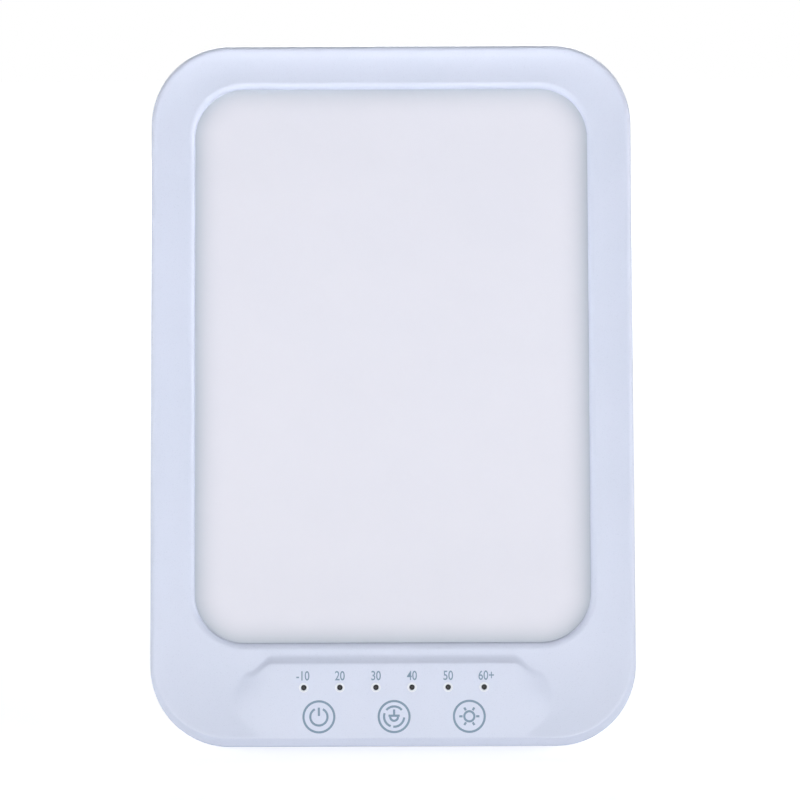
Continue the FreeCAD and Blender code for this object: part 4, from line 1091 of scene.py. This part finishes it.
# The rounded plate is cut off square at the hinge line by a block that is larger than what it removes.
TRIM_HIGH = 20 * MM
TRIM_HALF = 40 * MM
trim = prism([(-2 * LEG_FACE, 0), (2 * LEG_FACE, 0), (2 * LEG_FACE, TRIM_HIGH), (-2 * LEG_FACE, TRIM_HIGH)],
             TRIM_HALF)
carve_all(leg, "DIFFERENCE", trim, place=LEG)

# %% Barrel and heel
turns = np.radians(np.arange(0, 360, 7.5))
barrel = prism([(BARREL * math.cos(turn), BARREL * math.sin(turn)) for turn in turns], LEG_HALF)
HEEL_REACH = 3.5 * MM
HEEL = 8 * MM
heel_foot = np.array((-HEEL_REACH * math.cos(OPEN_ANGLE), HEEL_REACH * math.sin(OPEN_ANGLE)))
heel_tip = heel_foot + HEEL * np.array((math.sin(OPEN_ANGLE), math.cos(OPEN_ANGLE)))
heel = prism([(0, 0), (LEG_FACE, 0), (LEG_FACE, HEEL / 2), tuple(heel_tip), tuple(heel_foot)], LEG_HALF)
carve_all(leg, "UNION", barrel, heel, place=LEG)
print(f"leg {LEG_LENGTH / MM:.1f} mm long, its heel {HEEL_REACH / MM} mm from the hinge axis")

# %% Bays
BAY_TOP = -2 * BARREL
BAY_STEP = 24.7725 * MM
BAY_HALF = 26 * MM
BAY_COUNT = 4
BAY_CORNER = 1 * MM
RIB = 2 * MM
SKIN = 1.8 * MM
bays = [
    slot_cutter(BAY_HALF, BAY_TOP - (number + 1) * BAY_STEP + RIB, BAY_TOP - number * BAY_STEP,
                BAY_CORNER, rim_rows(LEG_FACE - SKIN, -LEG_FACE, FINE_RIM))
    for number in range(BAY_COUNT)
]
carve_all(leg, "DIFFERENCE", *bays, place=LEG)
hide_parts("stand_leg")
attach(leg, "stand")
print(f"leg: {len(leg.data.polygons)} faces")

# %% [markdown]
# ## Rubber feet
# The foot strip and the leg's pad are cut from sheet rubber, so their edges are only slightly broken. A
# mesh from CAD gives every face corners of its own, and a bevel needs an edge that two faces share. So
# the corners are welded first.

# %% Rubber edges
WELD = 0.001 * MM
BROKEN_EDGE = 0.3 * MM
for name in ("base_foot", "stand_pad"):
    print(name, len(nodes[name].data.vertices), "vertices before its edges are broken")
    nodes[name].modifiers.new("shared_corners", "WELD").merge_threshold = WELD
    edge = nodes[name].modifiers.new("broken_edges", "BEVEL")
    edge.width = BROKEN_EDGE
    edge.segments = 2
    edge.limit_method = "ANGLE"

# %% [markdown]
# ## Finishing
# Every CAD node gets its material by name, also the few that a finer mesh stands in for. The box round the
# finished lamp and the box of the CAD model are both measured and printed.

# %% Materials of the CAD nodes
finishes = {
    "front_frame": housing, "rear_cover": housing, "stand_leg": housing,
    "diffuser": opal, "diffuser_gasket": foam, "reflector_frame": reflective,
    "led_board": white_mask, "led_chips": phosphor, "led_board_screws": zinc,
    "control_board": green_mask, "control_board_screws": zinc, "touch_pads": foam,
    "light_guide": smoked, "indicator_leds": phosphor, "control_chip": resin,
    "driver_inductor": ferrite, "driver_capacitors": can, "dc_jack": resin, "dc_jack_pin": plated,
    "board_connector": nylon, "led_connector": nylon, "led_lead_red": red_pvc, "led_lead_black": black_pvc,
    "housing_screws": zinc, "base_foot": rubber, "stand_pad": rubber, "hinge_pins": drawn,
    "friction_washers": nylon,
}
for name, material in finishes.items():
    nodes[name].data.materials.clear()
    nodes[name].data.materials.append(material)
    nodes[name].data.set_sharp_from_angle(angle=SHARP)
print(sorted(set(nodes) - set(finishes)), "have no finish")

# %% Measure and finish
low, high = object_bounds()
{"cad": [list(cad_low), list(cad_high)], "visual": [list(low), list(high)]}
print("CAD", (cad_high - cad_low) / MM, "visual", (high - low) / MM)
